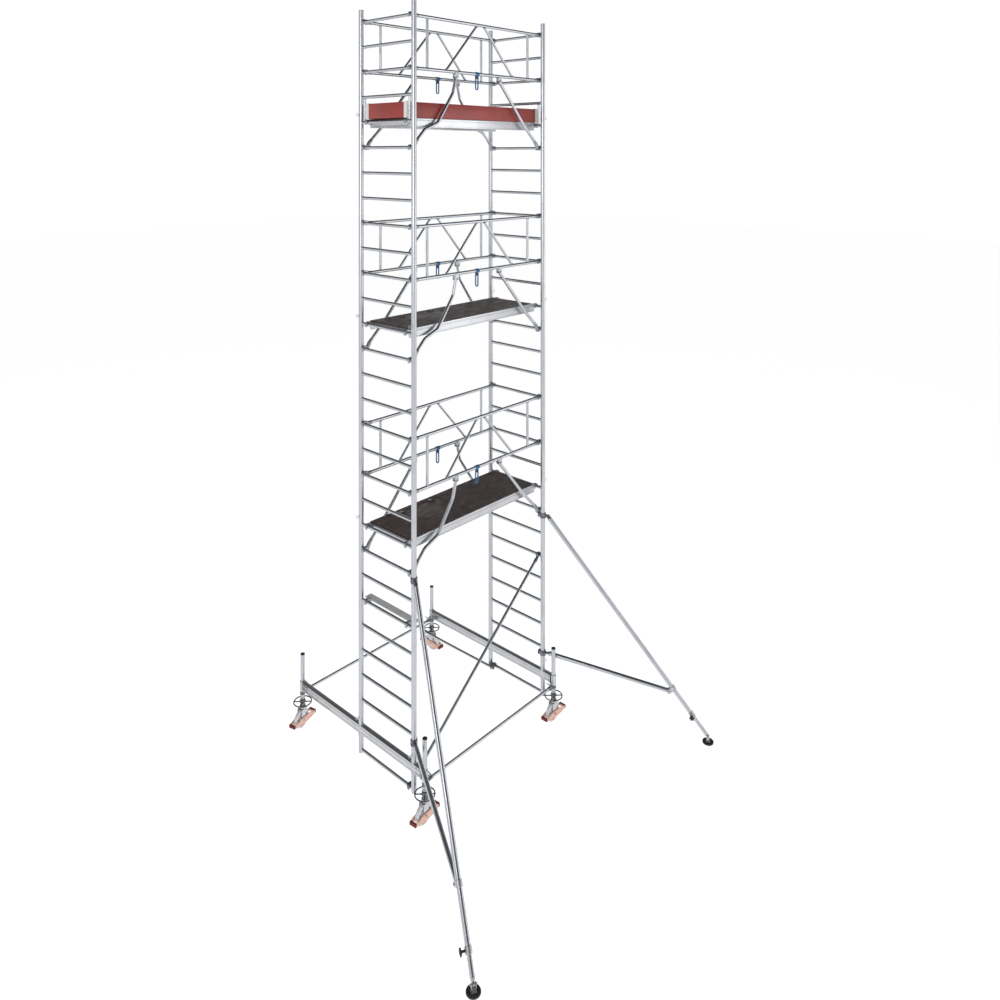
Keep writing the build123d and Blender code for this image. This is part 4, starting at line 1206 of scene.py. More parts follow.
    def build(self) -> dict[str, list[Surface]]:
        """The level's tubes become a piece; the rest is returned by kind for the pieces of all levels."""
        def both(parts: list[Surface]) -> list[Surface]:
            """A list of surfaces and the same turned half round."""
            return parts + [part.turned_half(LINES.middle) for part in parts]

        tubes = joined(both(self.tubes()))
        piece = sheet_object(f"guardrails_{self.level}_tubes", tubes, "tower", TUBE)
        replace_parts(piece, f"guardrails_{self.level}")
        blue, dark = self.grip()
        return {
            "welds": both(self.welds()),
            "claws": both(self.claws()),
            "brackets": both(self.brackets()),
            "grips": both(blue),
            "latches": both(dark),
        }


def build_guardrails() -> None:
    """Three levels of guardrails and the pieces that they share."""
    shared: dict[str, list[Surface]] = {}
    for level in LEVELS:
        for kind, parts in Guardrail(level).build().items():
            shared.setdefault(kind, []).extend(parts)
    sheet_object("guardrail_welds", joined(shared["welds"]), "tower", WELD)
    claws = sheet_object("guardrail_cast_claws", joined(shared["claws"]), "tower", CLAW)
    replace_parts(claws, "guardrail_claws")
    plates = sheet_object("leg_pivot_plates", joined(shared["brackets"]), "tower", PALE_CAST)
    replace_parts(plates, "leg_brackets")
    grips = sheet_object("loop_grips", joined(shared["grips"]), "tower", BLUE)
    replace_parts(grips, "grip_loops")
    # Black blocks of painted shade inside the tops of the loop grips.
    sheet_object("loop_grip_latches", joined(shared["latches"]), "tower", BLACK)


# ---------------------------------------------------------------- platforms


@dataclass
class Platform:
    """One platform: its frame, screws, hatch panel and hinges."""

    level: str
    half_width: float = 0.3025
    rail_width: float = 0.028
    rail_height: float = 0.075
    board: float = 0.012
    bearers: tuple[float, ...] = (-0.68, 0.02, 0.475)
    hatch_width: float = 0.464
    hole: float = 0.016
    hole_inset: float = 0.057

    def __post_init__(self) -> None:
        """Works out the platform's heights."""
        self.rung = LINES.rung(LEVELS[self.level])
        self.surface = self.rung + 0.032
        self.top = self.surface - self.board
        self.end = LINES.half_bay - 0.04

    def frame(self) -> list[Surface]:
        """Grooved side rails, end members and three bearers."""
        made = []
        section = grooved_box(self.rail_width, self.rail_height, 0.003, (-0.026, 0.026), 0.0015)
        for side in (-1, 1):
            y = LINES.middle + side * (self.half_width - self.rail_width / 2)
            z = self.top - self.rail_height / 2
            made.append(swept(np.array(((-self.end, y, z), (self.end, y, z))), section, ACROSS))
            y = LINES.middle + side * (self.half_width + 0.0008)
            path = np.array(((-self.end, y, self.surface - 0.0075), (self.end, y, self.surface - 0.0075)))
            made.append(swept(path, rounded_box(0.0026, 0.018, 0.0008, 3), ACROSS))
        inner = self.half_width - self.rail_width
        ends = [(x, 0.04, 0.05) for x in (-self.end + 0.02, self.end - 0.02)]
        bearers = [(x, 0.03, 0.036) for x in self.bearers]
        for x, width, height in ends + bearers:
            z = self.top - height / 2
            path = np.array(((x, LINES.middle - inner, z), (x, LINES.middle + inner, z)))
            made.append(swept(path, rounded_box(width, height, 0.003), ALONG))
        return made

    def claws(self) -> list[Surface]:
        """Four hooks over the rungs."""
        made = []
        for side in (-1, 1):
            y = LINES.middle + side * (self.half_width - self.rail_width / 2)
            for sign in (-1, 1):
                made.append(hook((sign * LINES.half_bay, y, self.rung), sign, 0.03, 0.042))
        return made

    def screws(self) -> list[Surface]:
        """Rivets through the side rails and flat screw heads along the deck's edges."""
        dome = np.array(((0.006, 0.0), (0.0058, 0.0012), (0.004, 0.0026), (0.0015, 0.0032)))
        made = []
        for side in (-1, 1):
            y = LINES.middle + side * self.half_width
            seat = Place.on((0.0, y - side * 0.0002, self.top - 0.012), (0, side, 0), ALONG)
            places = [(x, 0.0, 0.0) for x in (-0.89, -0.87, *self.bearers, 0.87, 0.89)]
            made.append(copies(turned(dome, seat, 12), np.array(places)))
        flat = np.array(((0.0055, -0.001), (0.0055, 0.0003), (0.0045, 0.0006)))
        seat = Place.on((0.0, LINES.middle, self.surface), UP, ALONG)
        along = np.array([(x, side * 0.288, 0.0) for x in np.linspace(-0.88, 0.88, 13) for side in (-1, 1)])
        rows = (-0.885, 0.885, *self.bearers[1:])
        across = np.array([(x, y, 0.0) for x in rows for y in (-0.19, -0.06, 0.07, 0.2)])
        made.append(copies(turned(flat, seat, 10), np.concatenate([along, across])))
        return made

    def hatch_panel(self) -> Surface:
        """The hatch panel with its finger hole.

        Each ring of the panel has a point on the rectangle or on the hole at the same angle from
        the hole's centre; the rings run round the edge, under the panel and up through the hole.
        """
        low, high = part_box(f"hatch_{self.level}")
        sides = 72
        x0, x1 = low.x, high.x
        y0, y1 = low.y, low.y + self.hatch_width
        middle, hole_y = (x0 + x1) / 2, y0 + self.hole_inset
        angle = full_turn(sides)
        way = np.stack([np.cos(angle), np.sin(angle)], -1)
        reach_x = np.where(way[:, 0] > 0, x1 - middle, middle - x0) / np.maximum(np.abs(way[:, 0]), 1e-9)
        reach_y = np.where(way[:, 1] > 0, y1 - hole_y, hole_y - y0) / np.maximum(np.abs(way[:, 1]), 1e-9)
        edge = way * np.minimum(reach_x, reach_y)[:, None]
        corners = np.array([(x - middle, y - hole_y) for x in (x0, x1) for y in (y0, y1)])
        nearest = np.argmin(np.linalg.norm(edge[None] - corners[:, None], axis=2), axis=1)
        edge[nearest] = corners
        hole = way * self.hole
        top, bottom = low.z + 0.011, low.z
        rings = [(edge, bottom), (edge, top - 0.001), (edge * 0.996, top)]
        rings += [(hole * 1.06, top), (hole, top - 0.001), (hole, bottom)]
        points = [np.column_stack([ring + (middle, hole_y), np.full(sides, z)]) for ring, z in rings]
        return grid(np.stack(points), ring_lengths(edge), np.arange(7) * 0.01, wrap_rows=True)

    def hatch_straps(self) -> list[Surface]:
        """Two hinges: a strap and a knuckle on either side of each, and the pin through them."""
        low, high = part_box(f"hatch_{self.level}")
        _, y, z = joint(f"hatch_{self.level}_hinge")["pos_m"]
        middle = (low.x + high.x) / 2
        made = []
        for x in (middle - 0.2, middle + 0.2):
            for side in (-1, 1):
                seat = Place.on((x + side * 0.024, y - 0.02, self.surface + 0.0012), UP, ALONG)
                made.append(plate(rounded_box(0.016, 0.034, 0.004), 0.0028, seat, 0.0006))
                made.append(rod((x + side * 0.016, y, z), (x + side * 0.032, y, z), 0.005, 16))
            made.append(rod((x - 0.032, y, z), (x + 0.032, y, z), 0.003, 12))
        return made

    def build(self) -> tuple[list[Surface], list[Surface]]:
        """The level's own pieces; its claws and screws are returned for the pieces of all levels."""
        profiles = joined(self.frame())
        piece = sheet_object(f"platform_{self.level}_profiles", profiles, "tower", PROFILE)
        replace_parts(piece, f"platform_frame_{self.level}")
        body = f"hatch_{self.level}"
        board = sheet_object(f"{body}_panel", self.hatch_panel(), body, DECK)
        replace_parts(board, f"hatch_{self.level}")
        sheet_object(f"{body}_straps", joined(self.hatch_straps()), body, CAST)
        return self.claws(), self.screws()


def build_platforms() -> None:
    """Three platforms, their claws and screws, and the toe boards of the top one."""
    claws, screws = [], []
    for level in LEVELS:
        hooks, heads = Platform(level).build()
        claws += hooks
        screws += heads
    sheet_object("platform_claws", joined(claws), "tower", CLAW)
    sheet_object("platform_screws", joined(screws), "tower", ZINC)
    build_toe_boards()


def build_toe_boards() -> None:
    """Four boards with rounded edges, grain running along each."""
    low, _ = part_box("toe_boards")
    thick, height = 0.018, 0.15
    section = rounded_box(thick, height, 0.004)
    z = low.z + height / 2
    half_long, side_y = 0.938, 0.2935
    made = []
    for side in (-1, 1):
        y = LINES.middle + side * side_y
        made.append(swept(np.array(((-half_long, y, z), (half_long, y, z))), section, ACROSS, 0.002))
    reach = side_y - thick / 2 - 0.004
    for x in (-LINES.half_bay, LINES.half_bay):
        path = np.array(((x, LINES.middle - reach, z), (x, LINES.middle + reach, z)))
        made.append(swept(path, section, ALONG, 0.002))
    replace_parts(sheet_object("toe_board_panels", joined(made), "tower", TOE), "toe_boards")


@dataclass
class CornerBars:
    """Short upright bars beside the posts, from the top platform's rung to the rung above."""

    radius: float = 0.011
    inset: float = 0.062

    def build(self) -> None:
        """Four bars with a bead of weld at each end."""
        low, high = LINES.rung(LEVELS["top"]) + 0.0152, LINES.rung(LEVELS["top"] + 1) - 0.0152
        made = []
        for sign in (-1, 1):
            for y in (LINES.front + self.inset, LINES.rear - self.inset):
                x = sign * LINES.half_bay
                made.append(member((x, y, low), (x, y, high), self.radius))
                for z, way in ((low, 1), (high, -1)):
                    made.append(weld((x, y, z + way * 0.001), (0, 0, way), self.radius, 0.0024))
        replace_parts(sheet_object("corner_bar_tubes", joined(made), "tower", TUBE), "corner_bars")


# ---------------------------------------------------------------- castors


@dataclass
class Castor:
    """One castor: hand wheel, threaded spindle, swivel fork, wheel and double brake."""

    corner: str
    trail: float = 0.022
    axle: float = 0.1
    fork_top: float = 0.222
    wheel_radius: float = 0.1
    spindle_radius: float = 0.018
    spindle_head: float = 0.645
    pitch: float = 0.010
    wheel_level: float = 0.27

    def __post_init__(self) -> None:
        """The castor's own frame: origin on the floor under the spindle, x ahead, y across, z up."""
        x, y, _ = joint(f"castor_{self.corner}_swivel")["pos_m"]
        across = np.array(joint(f"wheel_{self.corner}_spin")["axis"], float)
        self.origin = np.array((x, y, 0.0))
        self.ahead = np.array((across[1], -across[0], 0.0))
        self.across = np.array((across[0], across[1], 0.0))

    def at(self, ahead: float, across: float, height: float) -> Array:
        """World point of a point in the castor's own frame."""
        return self.origin + self.ahead * ahead + self.across * across + UP * height

    def upright(self, height: float) -> Place:
        """A place on the swivel axis whose z is up."""
        return Place(self.at(0, 0, height), self.ahead, self.across, UP)

    def side(self, across: float) -> Place:
        """A place for a side plate: x ahead, y up, at a distance across."""
        return Place(self.at(0, across, 0), self.ahead, UP, -self.across)

    def axle_place(self) -> Place:
        """A place on the axle whose z is along it."""
        return Place.on(self.at(-self.trail, 0, self.axle), self.across, UP)

    def hand_wheel(self) -> None:
        """Rim, four waisted spokes and a waisted hub bored for the spindle."""
        body = f"hand_wheel_{self.corner}"
        z = self.wheel_level
        hub = ((0.0235, -0.02), (0.026, -0.0185), (0.030, -0.006))
        hub += ((0.030, 0.012), (0.027, 0.0285), (0.0245, 0.03))
        bore = ((0.01805, 0.03), (0.01805, -0.02))
        made = [doughnut(self.upright(z), 0.0935, 0.0063, 72, 14, 24, 0.035)]
        made.append(turned(np.array(hub + bore), self.upright(z), 36, hollow=True))
        waist = ((0.026, -0.009), (0.050, -0.0055), (0.074, -0.0055), (0.091, -0.0085))
        outline = np.array(waist + tuple((x, -y) for x, y in waist[::-1]))
        for turn in range(4):
            angle = math.radians(45 + 90 * turn)
            x_dir = np.array((math.cos(angle), math.sin(angle), 0.0))
            made.append(plate(outline, 0.0085, Place.on(self.at(0, 0, z), UP, x_dir), 0.0018))
        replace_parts(sheet_object(f"{body}_casting", joined(made), body, WHEEL_IRON), body)

    def spindle(self) -> None:
        """Threaded rod over the bearing's upper race.

        The radius is the full radius less a groove; the groove's depth follows the phase, which is
        the height over the pitch less the turn's share of a full turn.
        """
        body = f"spindle_{self.corner}"
        rows, sides, depth = 330, 28, 0.0016
        height = np.linspace(self.fork_top + 0.012, self.spindle_head, rows)
        angle = full_turn(sides)
        phase = (height[:, None] / self.pitch - angle[None] / (2 * math.pi)) % 1
        radius = self.spindle_radius - depth * np.clip(1.6 - 6 * np.abs(phase - 0.5), 0, 1)
        flat = np.broadcast_to(height[:, None], radius.shape)
        local = np.stack([radius * np.cos(angle), radius * np.sin(angle), flat], -1)
        u = full_turn(sides, True) * self.spindle_radius
        rod_surface = grid(self.upright(0.0).world(local), u, height, caps=True)
        race = ((0.030, 0.0), (0.033, 0.002), (0.033, 0.010))
        race += ((0.031, 0.0118), (0.022, 0.0125), (0.0185, 0.013))
        seat = turned(np.array(race), self.upright(self.fork_top + 0.0003), 36)
        piece = sheet_object(f"{body}_thread", joined([rod_surface, seat]), body, ZINC)
        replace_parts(piece, body)

    def fork(self) -> None:
        """Crown, bridge, two side plates with round lower ends, the axle and its nuts."""
        body = f"fork_{self.corner}"
        crown = ((0.030, 0.200), (0.0335, 0.2025), (0.034, 0.205))
        crown += ((0.034, 0.214), (0.032, 0.219), (0.028, 0.2215))
        made = [turned(np.array(crown), self.upright(0.0), 36)]
        bridge = Place(self.at(-self.trail / 4, 0, 0.205), self.ahead, self.across, UP)
        made.append(plate(rounded_box(0.088, 0.066, 0.010, 6), 0.006, bridge, 0.0012))
        foot = arc_points((-self.trail, self.axle), 0.024, 172, 352, 16)
        outline = np.concatenate([foot, [(0.036, 0.196), (0.036, 0.203), (-0.046, 0.203), (-0.048, 0.196)]])
        for sign in (-1, 1):
            made.append(plate(outline, 0.005, self.side(sign * 0.0305), 0.0012))
            nut = Place.on(self.at(-self.trail, sign * 0.0435, self.axle), self.across * sign, UP)
            made.append(plate(hexagon(0.020), 0.005, nut, 0.0009))
        start, end = (self.at(-self.trail, across, self.axle) for across in (-0.046, 0.046))
        made.append(rod(start, end, 0.008))
        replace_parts(sheet_object(f"{body}_pressing", joined(made), body, ZINC), body)

    def wheel(self) -> None:
        """Tyre, dished web with eight ribs, and hub."""
        body = f"wheel_{self.corner}"
        lower = [(0.00805, -0.026), (0.0225, -0.026), (0.024, -0.0245), (0.0245, -0.021), (0.038, -0.021)]
        lower += [(0.041, -0.0085), (0.0735, -0.0075), (0.0775, -0.0205), (0.0845, -0.021), (0.0850, -0.0203)]
        lower += [(0.0862, -0.0203), (0.0868, -0.0209), (0.092, -0.0195), (0.0965, -0.0165)]
        lower += [(0.0993, -0.0125), (self.wheel_radius, -0.007)]
        profile = np.array(lower + [(radius, -height) for radius, height in lower[::-1]])
        made = [turned(profile, self.axle_place(), 64, hollow=True)]
        rib = np.array(((0.037, -0.0175), (0.079, -0.0185), (0.079, 0.0185), (0.037, 0.0175)))
        centre = self.at(-self.trail, 0, self.axle)
        for turn in range(8):
            angle = math.radians(45 * turn)
            radial = self.ahead * math.cos(angle) + UP * math.sin(angle)
            place = Place(centre, radial, self.across, np.cross(radial, self.across))
            made.append(plate(rib, 0.0045, place, 0.0008))
        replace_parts(sheet_object(f"{body}_moulding", joined(made), body, TYRE), body)

    def brake(self) -> None:
        """Two boat-shaped cheeks with a raised edge, their cross pieces, and the ribbed tread pads."""
        body = f"brake_{self.corner}"
        half = [(0.0, 0.056), (0.045, 0.056), (0.095, 0.062), (0.150, 0.076), (0.150, 0.102), (0.060, 0.128)]
        route = half + [(-x, z) for x, z in half[::-1]]
        outline = rounded_route(np.array(route), 0.008, 4)[:-1]
        inner = (outline - (0.0, 0.092)) * (0.9, 0.78) + (0.0, 0.092)
        made, pads = [], []
        for sign in (-1, 1):
            made.append(plate(outline, 0.003, self.side(sign * 0.0385), 0.0008))
            ridge = self.side(sign * 0.0402).world(np.column_stack([inner, np.zeros(len(inner))]))
            made.append(swept(ridge, rounded_box(0.0022, 0.0036, 0.0009, 3), self.across, 0.0004))
        for end in (-1, 1):
            ends = np.array((self.at(end * 0.146, -0.037, 0.089), self.at(end * 0.146, 0.037, 0.089)))
            made.append(swept(ends, rounded_box(0.008, 0.024, 0.002), self.ahead))
            ends = np.array((self.at(end * 0.158, -0.039, 0.089), self.at(end * 0.158, 0.039, 0.089)))
            pads.append(swept(ends, rounded_box(0.016, 0.036, 0.004), self.ahead, 0.0015))
            for step in np.linspace(-0.033, 0.033, 9):
                low, high = self.at(end * 0.1655, step, 0.0755), self.at(end * 0.1655, step, 0.1025)
                pads.append(swept(np.array((low, high)), circle(0.0016, 8), self.across, 0.0004))
        piece = sheet_object(f"{body}_cheeks", joined(made), body, SALMON)
        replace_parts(piece, body)
        sheet_object(f"{body}_pads", joined(pads), body, MAROON)

    def build(self) -> None:
        """All five bodies of the castor."""
        self.hand_wheel()
        self.spindle()
        self.fork()
        self.wheel()
        self.brake()


# ---------------------------------------------------------------- stabilisers


@dataclass
class Stabiliser:
    """One stabiliser: leg and strut, the telescoping inner leg, its rubber foot and the star knob."""

    side: str
    upper: float = 2.194
    leg: float = 0.024
    bore: float = 0.0211
    inner: float = 0.021
    strut: float = 0.0225
    strut_share: float = 0.79
    knob_back: float = 0.028

    def __post_init__(self) -> None:
        """Works out the leg's line from the post to the foot's pin, and the strut's line."""
        sign = -1 if self.side == "left" else 1
        foot_low, foot_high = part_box(f"stabiliser_foot_{self.side}")
        foot = np.array(((foot_low.x + foot_high.x) / 2, (foot_low.y + foot_high.y) / 2, 0.062))
        post = np.array((sign * LINES.half_bay, LINES.front, 0.0))
        outward = (foot - post) * (1, 1, 0)
        self.outward = outward / np.linalg.norm(outward)
        self.start = post + self.outward * 0.052 + UP * self.upper
        self.foot = foot
        self.length = float(np.linalg.norm(foot - self.start))
        self.way = (foot - self.start) / self.length
        self.across = np.cross(UP, self.outward)
        inward = np.cross(self.way, self.across)
        self.inward = inward if inward[2] < 0 else -inward
        self.collar = self.start + self.way * (self.length * self.strut_share)
        self.lug = self.collar + self.inward * 0.052
        self.strut_start = post + self.outward * 0.062 + UP * 0.680
        run = self.lug - self.strut_start
        self.strut_way = run / np.linalg.norm(run)
        knob = np.array(joint(f"star_knob_{self.side}_turn")["pos_m"])
        self.leg_end = self.start + self.way * (float((knob - self.start) @ self.way) + self.knob_back)
        self.boss = self.leg_end - self.way * self.knob_back
        self.ground = self.foot * (1, 1, 0)

    def band(self, at: Array, edge: float, full: float) -> Surface:
        """A collar round the leg, 48 mm long; its radius falls from full to edge at both rims."""
        lower = [(self.leg, -0.024), (edge, -0.024), (full, -0.0225)]
        profile = np.array(lower + [(radius, -height) for radius, height in lower[::-1]])
        return turned(profile, Place.on(at, self.way, self.across), 32, hollow=True)

    def frame_tubes(self) -> None:
        """Outer leg and strut tubes, then the collar, lugs, bolts and end sleeve."""
        body = f"stabiliser_{self.side}"
        tubes = [member(self.start + self.way * 0.036, self.leg_end, self.leg, self.leg - self.bore)]
        head = self.strut_start + self.strut_way * 0.014
        tubes.append(member(head, self.lug - self.strut_way * 0.002, self.strut, 0.002))
        piece = sheet_object(f"{body}_tubes", joined(tubes), body, TUBE)
        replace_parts(piece, f"stabiliser_leg_{self.side}")
        ends = [self.band(self.collar, 0.0285, 0.0300)]
        for sign in (-1, 1):
            cheek = self.collar + self.inward * 0.044 + self.across * (sign * 0.024)
            seat = Place.on(cheek, self.across, self.inward)
            ends.append(plate(rounded_box(0.056, 0.040, 0.013, 6), 0.006, seat, 0.0012))
            bolt = Place.on(self.lug + self.across * (sign * 0.0310), self.across * sign, self.inward)
            ends.append(plate(hexagon(0.019), 0.008, bolt, 0.001))
        ends.append(self.band(self.boss, 0.0278, 0.0290))
        sheet_object(f"{body}_castings", joined(ends), body, PALE_CAST)

    def inner_leg(self) -> None:
        """Inner tube, its end plug, and the eye and pin over the foot."""
        body = f"stabiliser_inner_leg_{self.side}"
        head = self.leg_end - self.way * 0.640
        end = self.foot - self.way * 0.040
        leg = member(head, end, self.inner, 0.0025)
        piece = sheet_object(f"{body}_tube", leg, body, TUBE)
        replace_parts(piece, body)
        plug = ((0.0184, -0.020), (0.0184, 0.0), (0.0207, 0.0004))
        plug += ((0.0207, 0.006), (0.0165, 0.019), (0.0122, 0.025))
        made = [turned(np.array(plug), Place.on(end, self.way, self.across), 32)]
        made.append(rod(self.foot - self.across * 0.0088, self.foot + self.across * 0.0088, 0.014))
        made.append(rod(self.foot - self.across * 0.030, self.foot + self.across * 0.030, 0.005))
        sheet_object(f"{body}_eye", joined(made), body, PALE_CAST)

    def rubber_foot(self) -> None:
        """Flat rubber dish with a raised rim and a ring of cleats, and the U bracket that takes the pin."""
        body = f"stabiliser_foot_{self.side}"
        profile = [(0.0545, 0.0), (0.0565, 0.0010), (0.0575, 0.0035), (0.0575, 0.0115), (0.0560, 0.0148)]
        profile += [(0.0535, 0.0158), (0.0510, 0.0150), (0.0490, 0.0118), (0.0350, 0.0112), (0.0335, 0.0122)]
        base = Place.on(self.ground, UP, self.outward)
        made = [turned(np.array(profile), base, 64)]
        for turn in range(12):
            angle = math.radians(30 * turn + 15)
            radial = self.outward * math.cos(angle) + self.across * math.sin(angle)
            centre = self.ground + radial * 0.042 + UP * 0.0122
            place = Place(centre, radial, np.cross(UP, radial), UP)
            made.append(plate(rounded_box(0.012, 0.005, 0.0015, 3), 0.0022, place, 0.0006))
        piece = sheet_object(f"{body}_rubber", joined(made), body, RUBBER)
        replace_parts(piece, body)
        arc = arc_points((0.0, 0.062), 0.014, 0, 180, 12)
        outline = np.concatenate([[(-0.0170, 0.0115), (0.0170, 0.0115)], arc])
        bracket = []
        for sign in (-1, 1):
            centre = self.ground + self.across * (sign * 0.017)
            place = Place(centre, self.outward, UP, np.cross(self.outward, UP))
            bracket.append(plate(outline, 0.006, place, 0.0012))
            rivet = Place.on(self.foot + self.across * (sign * 0.0215), self.across * sign, self.outward)
            bracket.append(plate(hexagon(0.016), 0.004, rivet, 0.0008))
        seat = Place(self.ground + UP * 0.0132, self.outward, self.across, UP)
        bracket.append(plate(rounded_box(0.044, 0.044, 0.008, 6), 0.003, seat, 0.0008))
        sheet_object(f"{body}_bracket", joined(bracket), body, ZINC)

    def star_knob(self) -> None:
        """Star knob with six lobes on a short stem."""
        body = f"star_knob_{self.side}"
        facing = -self.across if self.across[0] > 0 else self.across
        seat = self.boss + facing * (self.leg + 0.0053)
        place = Place.on(seat, facing, self.way)
        stem = ((0.0085, 0.0), (0.009, 0.0006), (0.009, 0.026), (0.0095, 0.0262))
        head = ((0.014, 0.026), (0.021, 0.0268), (0.0240, 0.0300))
        head += ((0.0240, 0.0380), (0.0205, 0.0412), (0.010, 0.0422))
        made = [turned(np.array(stem), place, 20), turned(np.array(head), place, 72, 6, 0.0042)]
        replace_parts(sheet_object(f"{body}_moulding", joined(made), body, BLACK), body)

    def build(self) -> None:
        """All bodies of the stabiliser."""
        self.frame_tubes()
        self.inner_leg()
        self.rubber_foot()
        self.star_knob()
        dress_node(f"stabiliser_clamps_{self.side}", CAST)


def dress_carried_nodes() -> None:
    """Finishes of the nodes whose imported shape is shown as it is."""
    for node in ("castor_brackets", "bracket_fasteners", "hatch_knuckles"):
        dress_node(node, ZINC)
    dress_node("spindle_tube_caps", BLACK)
    dress_node("decks", DECK)
    dress_node("toe_board_holders", WHITE)


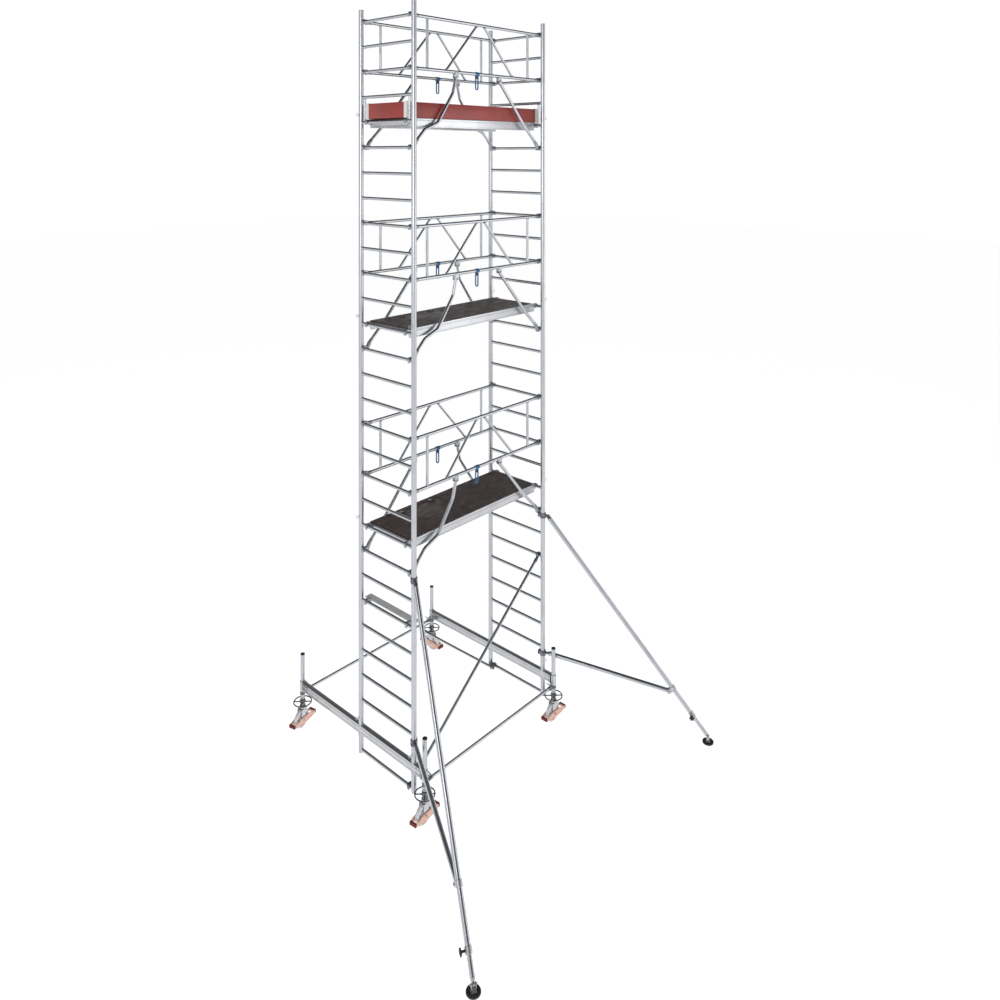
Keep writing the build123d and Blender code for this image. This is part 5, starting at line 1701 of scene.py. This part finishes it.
@dataclass
class Studio:
    """Floor, light and camera."""

    lens: float = 30.12
    shift: float = -0.3465
    eye: Triple = (-6.202, -6.010, 6.183)
    yaw: float = 47.75
    glow: float = 0.86
    brightness: float = 1.02
    sky: tuple[Pair, ...] = ((0.0, 1.0), (0.24, 1.0), (0.40, 0.12), (1.0, 0.04))
    around: tuple[Pair, ...] = (
        (0.0, 0.62),
        (0.25, 0.55),
        (0.5, 0.95),
        (0.62, 0.75),
        (0.78, 1.0),
        (1.0, 1.0),
    )

    def floor(self) -> None:
        """A wide near-white floor just under the wheels, which glows a little so that shadows stay soft."""
        span = 60.0
        corners = np.array(((-span, -span), (span, -span), (span, span), (-span, span)))
        mesh = bpy.data.meshes.new("floor")
        mesh.from_pydata(np.column_stack([corners, np.full(4, -0.0005)]), [], [[0, 1, 2, 3]])
        sheet = Sheet.blank("pale_floor")
        place = sheet.node("ShaderNodeTexCoord").outputs["Object"]
        cloud = sheet.noise(place, (0.6, 0.6, 0.6), 3.0)
        colour = sheet.blend(cloud, (0.90, 0.90, 0.90), (0.93, 0.93, 0.93))
        material = sheet.shader(0.0, colour, sheet.span(cloud, 0.85, 0.95), sheet.bump(cloud, 0.02, 0.001))
        shader = next(node for node in material.node_tree.nodes if node.type == "BSDF_PRINCIPLED")
        shader.inputs["Emission Color"].default_value = (1.0, 1.0, 1.0, 1.0)
        shader.inputs["Emission Strength"].default_value = self.glow
        shader.inputs["Specular IOR Level"].default_value = 0.0
        mesh.materials.append(material)
        ground = bpy.data.objects.new("floor", mesh)
        bpy.context.scene.collection.objects.link(ground)

    def world(self) -> None:
        """White ahead of the camera, greyer behind it and dark overhead.

        A ramp over the direction's height gives the sky; a second ramp over how far the direction
        points away from the camera's yaw dims it. The two are multiplied.
        """
        world = bpy.data.worlds.new("soft_studio")
        world.use_nodes = True
        tree = world.node_tree
        tree.nodes.clear()
        coordinate = tree.nodes.new("ShaderNodeTexCoord")
        split = tree.nodes.new("ShaderNodeSeparateXYZ")
        facing = tree.nodes.new("ShaderNodeVectorMath")
        facing.operation = "DOT_PRODUCT"
        yaw = math.radians(self.yaw)
        facing.inputs[1].default_value = (math.sin(yaw), math.cos(yaw), 0.0)
        span = tree.nodes.new("ShaderNodeMapRange")
        span.inputs["From Min"].default_value = -1.0
        span.inputs["From Max"].default_value = 1.0
        product = tree.nodes.new("ShaderNodeMix")
        product.data_type = "RGBA"
        product.blend_type = "MULTIPLY"
        product.inputs["Factor"].default_value = 1.0
        background = tree.nodes.new("ShaderNodeBackground")
        output = tree.nodes.new("ShaderNodeOutputWorld")
        high = self.ramp(tree, self.sky)
        around = self.ramp(tree, self.around)
        tree.links.new(coordinate.outputs["Generated"], split.inputs["Vector"])
        tree.links.new(coordinate.outputs["Generated"], facing.inputs[0])
        tree.links.new(split.outputs["Z"], high.inputs["Fac"])
        tree.links.new(facing.outputs["Value"], span.inputs["Value"])
        tree.links.new(span.outputs["Result"], around.inputs["Fac"])
        colours = [socket for socket in product.inputs if socket.type == "RGBA"]
        tree.links.new(high.outputs["Color"], colours[0])
        tree.links.new(around.outputs["Color"], colours[1])
        result = next(socket for socket in product.outputs if socket.type == "RGBA")
        tree.links.new(result, background.inputs["Color"])
        tree.links.new(background.outputs["Background"], output.inputs["Surface"])
        background.inputs["Strength"].default_value = self.brightness
        bpy.context.scene.world = world

    @staticmethod
    def ramp(tree: bpy.types.NodeTree, stops: tuple[Pair, ...]) -> bpy.types.Node:
        """A grey ramp through (position, value) stops."""
        node = tree.nodes.new("ShaderNodeValToRGB")
        node.color_ramp.elements[0].position = stops[0][0]
        node.color_ramp.elements[1].position = stops[-1][0]
        for position, _ in stops[1:-1]:
            node.color_ramp.elements.new(position)
        for element, (_, grey) in zip(node.color_ramp.elements, stops):
            element.color = (grey, grey, grey, 1.0)
        return node

    def lamp(self, name: str, at: Triple, size: float, power: float) -> None:
        """One soft area lamp aimed at the middle of the tower.

        Args:
            name: The lamp's name.
            at: Where it stands.
            size: Edge of its square.
            power: Its power in watts.
        """
        data = bpy.data.lights.new(name, "AREA")
        data.energy = power
        data.shape = "SQUARE"
        data.size = size
        lamp = bpy.data.objects.new(name, data)
        way = np.array((0.0, 0.0, 3.0)) - np.array(at)
        lamp.location = at
        yaw = math.atan2(way[1], way[0]) - math.pi / 2
        lamp.rotation_euler = (math.pi / 2 + math.atan2(way[2], math.hypot(way[0], way[1])), 0.0, yaw)
        bpy.context.scene.collection.objects.link(lamp)

    def camera(self) -> None:
        """A level camera with its picture shifted down, which keeps the posts upright."""
        data = bpy.data.cameras.new("camera")
        data.lens = self.lens
        data.sensor_width = 36.0
        data.shift_y = self.shift
        data.clip_end = 200.0
        camera = bpy.data.objects.new("camera", data)
        camera.location = self.eye
        camera.rotation_euler = (math.pi / 2, 0.0, math.radians(-self.yaw))
        bpy.context.scene.collection.objects.link(camera)
        bpy.context.scene.camera = camera

    def build(self) -> None:
        """Sets up the whole studio."""
        self.floor()
        self.world()
        self.lamp("key_left", (-9.0, -3.0, 6.5), 5.0, 260.0)
        self.lamp("fill_right", (6.0, -9.0, 5.0), 6.0, 160.0)
        self.camera()
        bpy.context.scene.view_settings.view_transform = "Standard"


def main() -> None:
    """Builds the tower in order, then the studio."""
    logging.basicConfig(level=logging.INFO, format="%(message)s")
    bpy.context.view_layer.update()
    LadderFrames().build()
    Chassis().build()
    BaseBraces().build()
    StepBoard().build()
    SpringClips().build()
    build_guardrails()
    build_platforms()
    CornerBars().build()
    for corner in ("front_left", "front_right", "rear_left", "rear_right"):
        Castor(corner).build()
    for side in ("left", "right"):
        Stabiliser(side).build()
    dress_carried_nodes()
    Studio().build()


if __name__ == "__main__":
    main()
